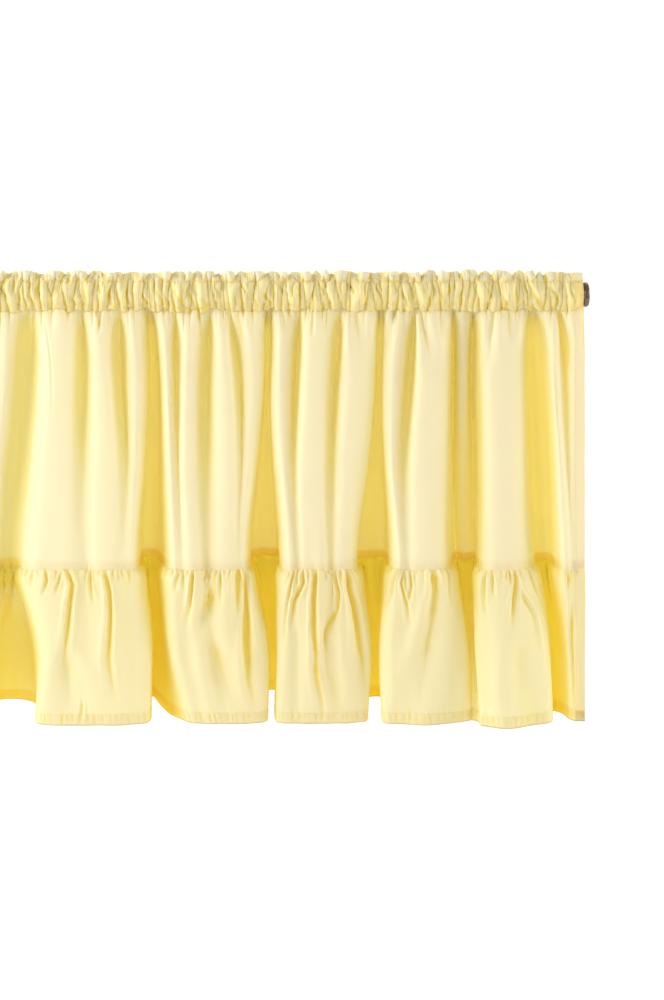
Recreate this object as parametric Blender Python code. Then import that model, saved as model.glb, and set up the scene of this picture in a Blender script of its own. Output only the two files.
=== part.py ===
"""A ruffled window valance gathered on a curtain rod.

The panel is one cloth. It starts at the seam of the ruffle, hangs up to the rod, passes in front
of it, stands above it as a frill, folds over, and comes down behind the rod to the lower stitching
of the pocket. The ruffle is a second cloth, gathered onto the lower edge of the panel, with its
seam allowance turned up behind the panel. The rod and its two caps are turned metal.

Frame: origin on the rod's axis, half way along it. +X runs along the rod, -Y is the front, +Z is up.
Sizes are millimetres up to the function that makes each mesh.
"""
import math

import bmesh
import bpy
import numpy as np

MM = 0.001

# ---- driving dimensions, mm -----------------------------------------------------------------
HALF_WIDTH = 381.0          # half of the hung width, 762
CLOTH_THICKNESS = 1.0
PIECE_GAP = 0.3             # clearance between pieces that touch
LAYER_PITCH = 1.9           # between the middles of two layers that are sewn together

ROD_RADIUS = 11.0
ROD_SIDES = 28
CAP_RADIUS = 12.5
CAP_LENGTH = 5.0
CAP_BEVEL = 0.8

FRILL_TOP_Z = 22.0
FRILL_SPREAD = 1.1          # the frill's waves, as a share of the puckers under them
FRILL_HEIGHT_WAVE = 1.8
UPPER_STITCH_Z = 13.6
LOWER_STITCH_Z = -13.6
POCKET_RADIUS = 12.9        # middle of the cloth where it lies on the rod
POCKET_PUFF = 4.2           # how much further out the puckers between those places stand
POCKET_ANGLES = (66.0, 22.0, -22.0, -66.0)
PUCKER_SLOPE = 0.5          # height of a pucker for each millimetre of its half pitch
PUCKER_MOST = 4.0
STITCHED_SHARE = 0.35       # what is left of a pucker under a line of stitching
PUCKER_FADE_Z = -62.0       # where the puckers have melted into the folds

PANEL_ROWS_Z = (-24.0, -42.0, -75.0, -120.0, -172.0, -218.0)
SEAM_Z = -270.5
ALLOWANCE_TOP_Z = SEAM_Z + 8.0
RUFFLE_ROWS_Z = (-281.0, -300.0, -330.0, -373.0)
HEM_Z = -419.0
RUFFLE_PUFF = 2.5           # how far the ruffle stands out half way down its crests
FRONT_Y = -10.0             # a fold line nearer than this belongs to a crest
GATHER_MOST = 4.5
GATHER_GROW_HEIGHT = 20.0   # below the seam, where the ruffle comes out from behind the panel
GATHER_FADE_Z = -390.0
LEAST_MITRE = 0.6           # keeps an offset at a sharp bend under 1.7 times its size

WALL_DEPTH = 20.0           # a step between two fold lines that goes back further is a wall
WIDEST_STEP = 13.5          # and one that is wider at the heading gets a middle column too

# A point in front of the valance. The folds are laid out as they are sighted from here on the
# plane of the pocket's front, so a fold that lies further back has its true X spread out.
STATION_X = 128.0
STATION_DISTANCE = 1500.0
SIGHT_PLANE_Y = -12.0

# ---- the folds ------------------------------------------------------------------------------
# Heights of the six places where a fold's sighted x is given.
FOLD_LEVELS_Z = (LOWER_STITCH_Z, -84.0, -163.0, SEAM_Z, -338.0, HEM_Z)

# One row for each line that runs down the cloth: a crest, a dip, a shoulder where a crest turns
# into a wall, or one side of the floor between two walls.
# name, sighted x at the six levels, depth y at the second level, the seam and the hem.
FOLDS = (
    ("left edge", (-377, -382, -386, -390, -392, -394), (-24, -24, -39)),
    ("left side hem", (-368, -373, -377, -380, -382, -385), (-27, -28, -42)),
    ("z1 crest", (-356, -357, -358, -359, -360, -361), (-24, -31, -46)),
    ("z1 dip", (-343, -343, -343, -344, -345, -346), (-14, -28, -47)),
    ("z1 crest 2", (-332, -331, -331, -332, -331, -331), (-22, -31, -47)),
    ("z1 right shoulder", (-324, -320, -320, -323, -317, -317), (-14, -20, -39)),
    ("z1-z2 floor left", (-320, -317, -317, -319, -316, -316), (21, 34, 45)),
    ("z1-z2 floor right", (-316, -310, -308, -306, -306, -305), (21, 36, 47)),
    ("z2 left shoulder", (-312, -308, -304, -299, -301, -299), (-12, -21, -39)),
    ("z2 crest", (-303, -301, -297, -290, -292, -291), (-23, -32, -47)),
    ("z2 dip", (-286, -283, -281, -280, -279, -277), (-13, -29, -48)),
    ("z2 crest 2", (-270, -266, -267, -270, -266, -264), (-24, -33, -49)),
    ("z2 dip 2", (-255, -251, -254, -259, -256, -255), (-16, -31, -49)),
    ("z2 right crest", (-243, -240, -244, -252, -247, -246), (-22, -30, -46)),
    ("z2 right shoulder", (-233, -231, -236, -246, -239, -240), (-13, -20, -38)),
    ("z2-a floor left", (-229, -227, -232, -242, -238, -239), (20, 33, 39)),
    ("z2-a floor right", (-224, -222, -225, -233, -232, -233), (20, 34, 39)),
    ("a0 left shoulder", (-218, -217, -220, -229, -230, -231), (-12, -20, -36)),
    ("a0 crest", (-196, -197, -207, -218, -220, -221), (-22, -31, -42)),
    ("a0-a floor left", (-177, -180, -188, -199, -206, -208), (-2, -12, 28)),
    ("a0-a floor right", (-170, -173, -180, -189, -180, -172), (-2, -12, 29)),
    ("a left shoulder", (-163, -164, -171, -179, -164, -166), (-19, -26, -39)),
    ("a crest", (-153, -154, -161, -167, -154, -156), (-25, -32, -50)),
    ("a crest 2", (-138, -140, -142, -144, -138, -138), (-25, -33, -53)),
    ("a dip", (-121, -122, -123, -118, -116, -114), (-13, -30, -53)),
    ("a crest 3", (-106, -102, -101, -99, -96, -96), (-25, -34, -53)),
    ("a dip 2", (-85, -84, -77, -82, -80, -78), (-12, -31, -51)),
    ("a right crest", (-71, -66, -68, -72, -66, -65), (-23, -30, -48)),
    ("a right shoulder", (-61, -56, -60, -65, -54, -55), (-13, -18, -35)),
    ("a-b floor left", (-57, -52, -56, -60, -52, -53), (21, 32, 44)),
    ("a-b floor right", (-53, -47, -47, -49, -43, -38), (21, 34, -3)),
    ("b left shoulder", (-48, -43, -41, -38, -36, -17), (-12, -20, -33)),
    ("b crest", (-41, -37, -35, -30, -28, -8), (-23, -31, -45)),
    ("b soft dip", (-29, -28, -26, -20, -16, 2), (-18, -31, -46)),
    ("b crest 2", (-14, -17, -18, -12, -4, 12), (-25, -34, -48)),
    ("b dip", (6, 2, 1, 4, 8, 24), (-12, -28, -47)),
    ("b crest 3", (17, 20, 23, 24, 28, 36), (-24, -34, -48)),
    ("b short dip", (26, 36, 38, 34, 40, 46), (-16, -31, -47)),
    ("b right crest", (48, 50, 46, 39, 51, 53), (-22, -30, -45)),
    ("b right shoulder", (59, 59, 53, 45, 62, 62), (-14, -18, -35)),
    ("b-c floor left", (62, 62, 57, 51, 63, 63), (21, 37, 65)),
    ("b-c floor right", (66, 65, 67, 72, 73, 72), (22, 39, 65)),
    ("c left shoulder", (70, 67, 69, 77, 73, 72), (-13, -20, -36)),
    ("c crest", (77, 75, 78, 86, 82, 80), (-23, -32, -45)),
    ("c dip", (96, 92, 89, 94, 93, 94), (-14, -31, -45)),
    ("c crest 2", (106, 103, 99, 103, 103, 105), (-24, -34, -47)),
    ("c crest 3", (119, 115, 113, 114, 116, 118), (-23, -34, -47)),
    ("c dip 2", (137, 131, 127, 128, 130, 132), (-13, -28, -45)),
    ("c crest 4", (146, 145, 142, 138, 143, 144), (-24, -32, -46)),
    ("c right crest", (161, 160, 154, 146, 156, 154), (-22, -28, -43)),
    ("c right shoulder", (172, 171, 165, 153, 165, 162), (-13, -18, -35)),
    ("c-d floor left", (175, 173, 167, 157, 166, 164), (20, 27, 41)),
    ("c-d floor right", (179, 177, 178, 178, 176, 177), (20, 28, 43)),
    ("d left shoulder", (183, 178, 180, 187, 176, 180), (-13, -20, -37)),
    ("d crest", (193, 189, 187, 195, 186, 189), (-23, -32, -49)),
    ("d dip", (211, 206, 198, 203, 200, 204), (-12, -31, -50)),
    ("d crest 2", (218, 217, 216, 218, 220, 224), (-25, -34, -52)),
    ("d right crest", (237, 235, 234, 237, 246, 248), (-23, -32, -49)),
    ("d right shoulder", (245, 245, 244, 247, 262, 264), (-14, -19, -41)),
    ("d-e floor left", (249, 249, 249, 252, 264, 268), (19, 18, -36)),
    ("d-e narrow ridge", (257, 258, 257, 260, 267, 270), (8, 16, -37)),
    ("d-e floor right", (269, 266, 268, 270, 270, 273), (17, 18, -38)),
    ("e left shoulder", (276, 275, 277, 274, 271, 277), (-13, -20, -46)),
    ("e crest", (284, 283, 285, 284, 282, 285), (-23, -32, -56)),
    ("e crest 2", (298, 298, 300, 300, 300, 302), (-25, -35, -63)),
    ("e right crest", (313, 312, 313, 316, 326, 328), (-23, -31, -55)),
    ("e right shoulder", (321, 320, 322, 329, 344, 347), (-14, -18, -41)),
    ("e-end floor left", (325, 325, 327, 334, 345, 348), (19, 14, -3)),
    ("e-end floor right", (330, 334, 337, 343, 350, 354), (19, 16, -9)),
    ("end shoulder", (340, 344, 350, 355, 361, 362), (-14, -20, -25)),
    ("end crest", (348, 350, 355, 362, 366, 368), (-23, -30, -35)),
    ("end dip", (357, 362, 364, 367, 369, 371), (-16, -28, -37)),
    ("right side hem", (368, 370, 371, 372, 373, 374), (-21, -27, -38)),
    ("right edge", (378, 380, 381, 381, 381, 381), (-18, -24, -39)),
)

PANEL_COLOUR = (0.93, 0.86, 0.52, 1.0)
METAL_COLOUR = (0.10, 0.085, 0.075, 1.0)


# ---- shape of the hanging cloth -------------------------------------------------------------
def smooth_step(value):
    value = np.clip(value, 0.0, 1.0)
    return value * value * (3.0 - 2.0 * value)


def hermite(levels, values, height):
    """Values (one row for each level) read at a height, along a smooth curve through the levels."""
    levels = np.asarray(levels, float)
    slopes = np.gradient(values, levels, axis=0)
    last = len(levels) - 2
    above = int(np.clip(np.searchsorted(-levels, -height, side="right") - 1, 0, last))
    span = levels[above + 1] - levels[above]
    part = (height - levels[above]) / span
    start = values[above] * (2 * part**3 - 3 * part**2 + 1)
    start = start + slopes[above] * span * (part**3 - 2 * part**2 + part)
    end = values[above + 1] * (3 * part**2 - 2 * part**3)
    return start + end + slopes[above + 1] * span * (part**3 - part**2)


def fold_nets():
    """Sighted x and depth y of every fold line at every level."""
    sighted = np.array([row[1] for row in FOLDS], float).T
    upper, seam, hem = np.array([row[2] for row in FOLDS], float).T
    top = np.full_like(upper, -LAYER_PITCH / 2)
    flare = (seam + hem) / 2 - RUFFLE_PUFF * (seam < FRONT_Y)
    depth = np.stack([top, upper, (upper + seam) / 2, seam, flare, hem])
    return sighted, depth


def true_x(sighted, depth):
    share = (STATION_DISTANCE + depth - SIGHT_PLANE_Y) / STATION_DISTANCE
    return STATION_X + (sighted - STATION_X) * share


def find_long_steps():
    """Steps between fold lines that need a middle column: the walls, and wide parts of a crest."""
    across = np.diff([row[1][0] for row in FOLDS])
    back = np.abs(np.diff([row[2][0] for row in FOLDS]))
    return set(np.flatnonzero((back > WALL_DEPTH) | (across > WIDEST_STEP)).tolist())


LONG_STEPS = find_long_steps()


def add_middle_columns(line):
    """Extra points half way along the long steps, on a smooth curve through the fold lines."""
    before = np.vstack([line[:1], line[:-1]])
    after = np.vstack([line[1:], line[-1:]])
    points = []
    for index in range(len(line)):
        points.append(line[index])
        if index in LONG_STEPS:
            bend = before[index] + after[index + 1]
            points.append((9 * (line[index] + line[index + 1]) - bend) / 16)
    return np.array(points)


def section(height):
    """Plan of the cloth at one height: true x and y, one row for each column of the mesh."""
    sighted, depth = fold_nets()
    y = hermite(FOLD_LEVELS_Z, depth, height)
    x = true_x(hermite(FOLD_LEVELS_Z, sighted, height), y)
    return add_middle_columns(np.stack([x, y], axis=1))


def front_normals(points):
    """Normals in plan that point to the front, longer at a bend so that an offset stays even."""
    steps = np.diff(points, axis=0)
    steps /= np.linalg.norm(steps, axis=1)[:, None]
    before = np.vstack([steps[:1], steps])
    after = np.vstack([steps, steps[-1:]])
    along = before + after
    normal = np.stack([along[:, 1], -along[:, 0]], axis=1)
    normal /= np.linalg.norm(normal, axis=1)[:, None]
    straightness = np.sqrt((1.0 + np.sum(before * after, axis=1)) / 2.0)
    return normal / np.maximum(straightness, LEAST_MITRE)[:, None]


def zigzag(points, most):
    """Alternating puckers, as high as the narrower of the two steps beside each allows."""
    steps = np.abs(np.diff(points[:, 0]))
    narrow = np.minimum(np.append(steps[:1], steps), np.append(steps, steps[-1:]))
    height = np.minimum(most, PUCKER_SLOPE * narrow)
    sign = np.where(np.arange(len(points)) % 2 == 0, -1.0, 1.0)
    return height * sign


# ---- the two cloths -------------------------------------------------------------------------
def panel_rows():
    """The panel's rows of points, from the ruffle's seam up, over the rod and down behind it."""
    head = section(LOWER_STITCH_Z)
    head_x = head[:, 0]
    pucker = zigzag(head, PUCKER_MOST)
    count = len(head)
    half_pitch = LAYER_PITCH / 2
    rows = []

    for height in (SEAM_Z, ALLOWANCE_TOP_Z) + tuple(reversed(PANEL_ROWS_Z)):
        plan = section(height)
        fade = 1.0 - smooth_step((LOWER_STITCH_Z - height) / (LOWER_STITCH_Z - PUCKER_FADE_Z))
        out = front_normals(plan) * (pucker * fade)[:, None]
        rows.append(np.column_stack([plan + out, np.full(count, height)]))

    def stitched(height, side):
        y = -pucker * STITCHED_SHARE + side * half_pitch
        return np.column_stack([head_x, y, np.full(count, height)])

    def round_rod(angle, side):
        reach = POCKET_RADIUS + POCKET_PUFF * np.maximum(pucker, 0.0) / PUCKER_MOST
        y = side * reach * math.cos(math.radians(angle))
        return np.column_stack([head_x, y, reach * math.sin(math.radians(angle))])

    lean = -pucker * FRILL_SPREAD
    wave = FRILL_HEIGHT_WAVE * np.sin(head_x * 0.21) * np.cos(head_x * 0.083 + 1.0)
    middle_z = (UPPER_STITCH_Z + FRILL_TOP_Z) / 2

    def frill(height, share, side):
        y = lean * share + side * half_pitch
        return np.column_stack([head_x, y, np.full(count, height) + wave * share])

    rows.append(stitched(LOWER_STITCH_Z, -1))
    rows += [round_rod(angle, -1) for angle in reversed(POCKET_ANGLES)]
    rows.append(stitched(UPPER_STITCH_Z, -1))
    rows.append(frill(middle_z, 0.6, -1))
    rows.append(frill(FRILL_TOP_Z, 1.0, -1))
    rows.append(frill(FRILL_TOP_Z + CLOTH_THICKNESS, 1.0, 0))
    rows.append(frill(FRILL_TOP_Z, 1.0, 1))
    rows.append(frill(middle_z, 0.6, 1))
    rows.append(stitched(UPPER_STITCH_Z, 1))
    rows += [round_rod(angle, 1) for angle in POCKET_ANGLES]
    rows.append(stitched(LOWER_STITCH_Z, 1))
    return rows


def ruffle_rows():
    """The ruffle's rows of points, from the hem up to the top of its allowance."""
    behind = CLOTH_THICKNESS + PIECE_GAP
    rows = []
    for height in (HEM_Z,) + tuple(reversed(RUFFLE_ROWS_Z)) + (SEAM_Z, ALLOWANCE_TOP_Z):
        plan = section(height)
        grow = smooth_step((SEAM_Z - height) / GATHER_GROW_HEIGHT)
        fade = 1.0 - smooth_step((height - SEAM_Z) / (GATHER_FADE_Z - SEAM_Z))
        out = zigzag(plan, GATHER_MOST) * grow * fade - behind * (1.0 - grow)
        plan = plan + front_normals(plan) * out[:, None]
        rows.append(np.column_stack([plan, np.full(len(plan), height)]))
    return rows


# ---- meshes and objects ---------------------------------------------------------------------
def clear_scene():
    for item in list(bpy.data.objects):
        bpy.data.objects.remove(item, do_unlink=True)


def principled(name, colour, roughness, metallic):
    material = bpy.data.materials.new(name)
    material.use_nodes = True
    shader = material.node_tree.nodes["Principled BSDF"]
    shader.inputs["Base Color"].default_value = colour
    shader.inputs["Roughness"].default_value = roughness
    shader.inputs["Metallic"].default_value = metallic
    material.diffuse_color = colour
    return material


def add_object(name, mesh, material):
    item = bpy.data.objects.new(name, mesh)
    bpy.context.scene.collection.objects.link(item)
    mesh.materials.append(material)
    return item


def cloth_sheet(name, rows, seam_row, material):
    """A triangulated sheet through rows of points, given its thickness by a Solidify modifier.

    The diagonals alternate from the row at the seam, so both cloths fold alike where they are sewn.
    """
    grid = np.array(rows)
    row_count, column_count = grid.shape[:2]
    faces = []
    for row in range(row_count - 1):
        for column in range(column_count - 1):
            corner = row * column_count + column
            right = corner + 1
            up = corner + column_count
            if (row - seam_row + column) % 2:
                faces += [(corner, right, up), (right, up + 1, up)]
            else:
                faces += [(corner, right, up + 1), (corner, up + 1, up)]
    mesh = bpy.data.meshes.new(name)
    mesh.from_pydata((grid.reshape(-1, 3) * MM).tolist(), [], faces)
    mesh.shade_smooth()
    item = add_object(name, mesh, material)
    thickness = item.modifiers.new("cloth thickness", "SOLIDIFY")
    thickness.thickness = CLOTH_THICKNESS * MM
    thickness.offset = 0.0
    return item


def turned_bar(name, radius, start, end, bevel, material):
    """A round bar along X, with its two rims bevelled."""
    shape = bmesh.new()
    bmesh.ops.create_cone(shape, cap_ends=True, segments=ROD_SIDES, radius1=radius * MM,
                          radius2=radius * MM, depth=(end - start) * MM)
    if bevel:
        rims = [edge for edge in shape.edges
                if abs(edge.verts[0].co.z - edge.verts[1].co.z) < 1e-6]
        bmesh.ops.bevel(shape, geom=rims, offset=bevel * MM, segments=1, affect="EDGES")
    mesh = bpy.data.meshes.new(name)
    shape.to_mesh(mesh)
    shape.free()
    mesh.shade_smooth()
    mesh.set_sharp_from_angle(angle=math.radians(40.0))
    item = add_object(name, mesh, material)
    item.rotation_euler = (0.0, math.radians(90.0), 0.0)
    item.location = ((start + end) / 2 * MM, 0.0, 0.0)
    return item


def main():
    clear_scene()
    cotton = principled("pale yellow cotton", PANEL_COLOUR, 0.9, 0.0)
    rod_metal = principled("dark bronze rod", METAL_COLOUR, 0.45, 0.9)
    cap_metal = principled("dark bronze cap", METAL_COLOUR, 0.38, 0.9)
    cloth_sheet("valance_panel", panel_rows(), 0, cotton)
    cloth_sheet("valance_ruffle", ruffle_rows(), 1 + len(RUFFLE_ROWS_Z), cotton)
    rod_end = HALF_WIDTH - PIECE_GAP
    turned_bar("curtain_rod", ROD_RADIUS, -rod_end, rod_end, 0.0, rod_metal)
    cap_end = HALF_WIDTH + CAP_LENGTH
    turned_bar("rod_cap_right", CAP_RADIUS, HALF_WIDTH, cap_end, CAP_BEVEL, cap_metal)
    turned_bar("rod_cap_left", CAP_RADIUS, -cap_end, -HALF_WIDTH, CAP_BEVEL, cap_metal)


main()
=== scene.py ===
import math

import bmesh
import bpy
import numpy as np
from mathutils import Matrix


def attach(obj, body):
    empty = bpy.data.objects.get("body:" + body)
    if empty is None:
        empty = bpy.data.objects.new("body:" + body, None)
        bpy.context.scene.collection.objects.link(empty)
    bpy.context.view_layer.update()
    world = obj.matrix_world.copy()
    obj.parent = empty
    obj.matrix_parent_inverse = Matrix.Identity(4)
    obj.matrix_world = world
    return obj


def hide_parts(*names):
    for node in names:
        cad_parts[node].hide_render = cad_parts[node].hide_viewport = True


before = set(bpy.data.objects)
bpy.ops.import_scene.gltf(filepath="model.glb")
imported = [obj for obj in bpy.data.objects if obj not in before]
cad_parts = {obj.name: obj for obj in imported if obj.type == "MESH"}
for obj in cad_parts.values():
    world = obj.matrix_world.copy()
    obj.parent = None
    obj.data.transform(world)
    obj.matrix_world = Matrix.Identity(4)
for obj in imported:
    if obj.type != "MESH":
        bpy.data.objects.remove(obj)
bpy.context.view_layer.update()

# %% [markdown]
# # A ruffled window valance on a rod
# The object is a short cotton curtain: a panel gathered on a rod, a frill standing above the rod
# and a fuller strip, the ruffle, sewn along its lower edge. This notebook dresses the packed
# solids: it makes the cloth again as fine sheets on the same folds, sews it with stitches made by
# Geometry Nodes, and gives cloth and metal their materials.

MM = 0.001

# %% [markdown]
# ## The sizes of the valance
# A maker writes down where the stitching, the seam and the hem lie before cutting anything. All
# heights are measured from the axis of the rod, and every size is in millimetres until a mesh is
# made. The front of the cloth faces -Y.

# %% Driving sizes, mm
HALF_WIDTH = 381.0
UPPER_STITCH_Z = 13.6
LOWER_STITCH_Z = -13.6
FRILL_TOP_Z = 22.0
SEAM_Z = -270.5
ALLOWANCE = 8.0
HEM_Z = -419.0
HEM_WIDTH = 10.0
SIDE_HEM_WIDTH = 10.5
LAYER_GAP = 0.7

# %% [markdown]
# ## The folds
# Gathered cloth falls in a few deep folds with softer dips on their crests. Each line that runs
# down the cloth is one row here: where it lies as sighted from a point in front of the valance,
# at six heights, and how deep it lies at three. Writing folds as a table keeps them easy to move
# one by one, which no noise texture would allow.

# %% Fold lines
# The point that the folds are sighted from, and the upright plane that sighted x is read on
STATION_X = 128.0
STATION_DISTANCE = 1500.0
SIGHT_PLANE_Y = -12.0
FRONT_Y = -10.0
RUFFLE_PUFF = 2.5
FOLD_LEVELS_Z = np.array([LOWER_STITCH_Z, -25.0, -84.0, -163.0, SEAM_Z, -338.0, HEM_Z])
TOP_Y = -6.0
EARLY_SHARE = 0.68

# name, sighted x at every level but the second, depth y at the third level, the seam and the hem
FOLDS = (
    ("left edge", (-377, -382, -386, -390, -392, -394), (-24, -24, -39)),
    ("left side hem", (-368, -373, -377, -380, -382, -385), (-27, -28, -42)),
    ("z1 crest", (-356, -357, -358, -359, -360, -361), (-24, -31, -46)),
    ("z1 dip", (-343, -343, -343, -344, -345, -346), (-5, -28, -47)),
    ("z1 crest 2", (-332, -331, -331, -332, -331, -331), (-22, -31, -47)),
    ("z1 right shoulder", (-324, -320, -320, -323, -317, -317), (-14, -20, -39)),
    ("z1-z2 floor left", (-320, -317, -317, -319, -316, -316), (21, 34, 45)),
    ("z1-z2 floor right", (-316, -310, -308, -306, -306, -305), (21, 36, 47)),
    ("z2 left shoulder", (-312, -308, -304, -299, -301, -299), (-12, -21, -39)),
    ("z2 crest", (-303, -301, -297, -290, -292, -291), (-23, -32, -47)),
    ("z2 dip", (-286, -283, -281, -280, -279, -277), (-4, -29, -48)),
    ("z2 crest 2", (-270, -266, -267, -270, -266, -264), (-24, -33, -49)),
    ("z2 dip 2", (-255, -251, -254, -259, -256, -255), (-7, -31, -49)),
    ("z2 right crest", (-243, -240, -244, -252, -247, -246), (-22, -30, -46)),
    ("z2 right shoulder", (-233, -231, -236, -246, -239, -240), (-13, -20, -38)),
    ("z2-a floor left", (-229, -227, -232, -242, -238, -239), (20, 33, 39)),
    ("z2-a floor right", (-224, -222, -225, -233, -232, -233), (20, 34, 39)),
    ("a0 left shoulder", (-218, -217, -220, -229, -230, -231), (-12, -20, -36)),
    ("a0 crest", (-196, -197, -207, -218, -220, -221), (-22, -31, -42)),
    ("a0-a floor left", (-177, -180, -188, -199, -206, -208), (-2, -12, 28)),
    ("a0-a floor right", (-170, -173, -180, -189, -180, -172), (-2, -12, 29)),
    ("a left shoulder", (-163, -164, -171, -179, -164, -167), (-19, -26, -46)),
    ("a crest", (-153, -154, -161, -167, -156, -160), (-25, -32, -50)),
    ("a crest 2", (-138, -140, -142, -144, -138, -138), (-25, -33, -53)),
    ("a dip", (-121, -122, -123, -118, -116, -114), (-6, -30, -53)),
    ("a crest 3", (-106, -102, -101, -99, -96, -96), (-25, -34, -53)),
    ("a dip 2", (-85, -84, -77, -82, -80, -78), (-3, -31, -51)),
    ("a right crest", (-71, -66, -68, -72, -65, -62), (-23, -30, -48)),
    ("a right shoulder", (-61, -56, -60, -65, -54, -55), (-13, -18, -43)),
    ("a-b floor left", (-57, -52, -56, -60, -52, -53), (21, 32, 44)),
    ("a-b floor right", (-53, -47, -47, -49, -43, -38), (21, 34, -3)),
    ("b left shoulder", (-48, -43, -41, -38, -36, -17), (-12, -20, -41)),
    ("b crest", (-41, -37, -35, -30, -28, -8), (-23, -31, -45)),
    ("b soft dip", (-29, -28, -26, -20, -16, 2), (-11, -31, -46)),
    ("b crest 2", (-14, -17, -18, -12, -4, 12), (-25, -34, -48)),
    ("b dip", (6, 2, 1, 4, 8, 24), (-3, -28, -47)),
    ("b crest 3", (17, 20, 23, 24, 28, 36), (-24, -34, -48)),
    ("b short dip", (26, 36, 38, 34, 40, 46), (-9, -31, -47)),
    ("b right crest", (48, 50, 46, 39, 51, 53), (-22, -30, -45)),
    ("b right shoulder", (59, 59, 53, 45, 62, 62), (-14, -18, -41)),
    ("b-c floor left", (62, 62, 57, 51, 63, 63), (21, 37, 65)),
    ("b-c floor right", (66, 65, 67, 72, 73, 72), (22, 39, 65)),
    ("c left shoulder", (70, 67, 69, 77, 73, 72), (-13, -20, -42)),
    ("c crest", (77, 75, 78, 86, 82, 80), (-23, -32, -45)),
    ("c dip", (96, 92, 89, 94, 93, 94), (-6, -31, -45)),
    ("c crest 2", (106, 103, 99, 103, 103, 105), (-24, -34, -47)),
    ("c crest 3", (119, 115, 113, 114, 116, 118), (-23, -34, -47)),
    ("c dip 2", (137, 131, 127, 128, 130, 132), (-4, -28, -45)),
    ("c crest 4", (146, 145, 142, 138, 143, 144), (-24, -32, -46)),
    ("c right crest", (161, 160, 154, 146, 156, 154), (-22, -28, -43)),
    ("c right shoulder", (172, 171, 165, 153, 165, 162), (-13, -18, -40)),
    ("c-d floor left", (175, 173, 167, 157, 166, 164), (20, 27, 41)),
    ("c-d floor right", (179, 177, 178, 178, 176, 177), (20, 28, 43)),
    ("d left shoulder", (183, 178, 180, 187, 176, 180), (-13, -20, -45)),
    ("d crest", (193, 189, 187, 195, 186, 189), (-23, -32, -49)),
    ("d dip", (211, 206, 198, 203, 200, 204), (-4, -31, -50)),
    ("d crest 2", (218, 217, 216, 218, 220, 224), (-25, -34, -52)),
    ("d right crest", (237, 235, 234, 237, 246, 248), (-23, -31, -45)),
    ("d right shoulder", (245, 245, 244, 247, 262, 264), (-14, -18, -38)),
    ("d-e floor left", (249, 249, 249, 252, 264, 268), (19, 18, -36)),
    ("d-e narrow ridge", (256, 256, 256, 259, 266, 269), (-9, 12, -37)),
    ("d-e ridge right", (263, 262, 262, 264, 269, 271), (-8, 13, -37)),
    ("d-e floor right", (269, 267, 269, 270, 271, 273), (17, 18, -38)),
    ("e left shoulder", (276, 275, 277, 274, 271, 277), (-13, -20, -53)),
    ("e crest", (284, 283, 285, 284, 282, 285), (-23, -32, -56)),
    ("e crest 2", (298, 298, 300, 300, 300, 302), (-25, -35, -63)),
    ("e right crest", (313, 312, 313, 316, 326, 328), (-23, -30, -51)),
    ("e right shoulder", (321, 320, 322, 329, 344, 347), (-14, -18, -42)),
    ("e-end floor left", (325, 325, 327, 334, 345, 348), (19, 14, -3)),
    ("e-end floor right", (330, 334, 337, 343, 350, 354), (19, 16, -9)),
    ("end shoulder", (340, 344, 350, 355, 361, 362), (-14, -20, -25)),
    ("end crest", (348, 350, 355, 362, 366, 368), (-23, -30, -35)),
    ("end dip", (357, 362, 364, 367, 369, 371), (-12, -28, -37)),
    ("right side hem", (369, 371, 371, 372, 373, 374), (-21, -27, -38)),
    ("right edge", (380, 381, 381, 381, 381, 381), (-18, -24, -39)),
)

# %% [markdown]
# ## Broad crests and narrow dips
# Cloth under its own weight keeps its crests broad and lets the dips between them stay narrow.
# A curve through crest and dip alone would make both alike, so each dip gets a helper line on
# either side, some way towards the next crest and nearly as high.

# %% Flanks of the dips, and the table as arrays
DIP_WIDTH, DIP_SHARE = 0.58, 0.86


def with_flanks(rows):
    """Adds a line on either side of each dip, near it and nearly as high as the crests."""
    result = []
    for index, (name, x, y) in enumerate(rows):
        if " dip" not in name:
            result.append((name, x, y))
            continue
        x, y = np.array(x, float), np.array(y, float)
        near = [[np.array(values, float) for values in rows[index + side][1:]] for side in (-1, 1)]
        left, right = [(name + " flank", x + DIP_WIDTH * (crest_x - x), y + DIP_SHARE * (crest_y - y))
                       for crest_x, crest_y in near]
        result += [left, (name, x, y), right]
    return result


FOLDS = with_flanks(FOLDS)
FOLD_X = np.array([row[1] for row in FOLDS], float).T
early = (FOLD_LEVELS_Z[0] - FOLD_LEVELS_Z[1]) / (FOLD_LEVELS_Z[0] - FOLD_LEVELS_Z[2])
FOLD_X = np.insert(FOLD_X, 1, FOLD_X[0] + (FOLD_X[1] - FOLD_X[0]) * early, axis=0)
UPPER_Y, SEAM_Y, HEM_Y = np.array([row[2] for row in FOLDS], float).T
FLARE_Y = (SEAM_Y + HEM_Y) / 2 - RUFFLE_PUFF * (SEAM_Y < FRONT_Y)
FOLD_Y = np.stack([np.full_like(UPPER_Y, TOP_Y), TOP_Y + EARLY_SHARE * (UPPER_Y - TOP_Y),
                   UPPER_Y, (UPPER_Y + SEAM_Y) / 2,
                   SEAM_Y, FLARE_Y, HEM_Y])
print("fold lines:", len(FOLDS))

# %% [markdown]
# ## From fold lines to a surface
# Between two heights a fold line follows a smooth curve, and across the cloth a second curve runs
# through all the lines at one height. Both are cubic curves through given points, like the splines
# in Blender's curve editor, but worked out for a whole grid at once with numpy.

# %% Curves through the fold lines
def smooth_step(value):
    value = np.clip(value, 0.0, 1.0)
    return value * value * (3.0 - 2.0 * value)


def cubic(start, end, leave, arrive, part):
    """A cubic curve from start to end with its two tangents."""
    square, cube = part * part, part * part * part
    return (start * (2 * cube - 3 * square + 1) + leave * (cube - 2 * square + part)
            + end * (3 * square - 2 * cube) + arrive * (cube - square))


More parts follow.
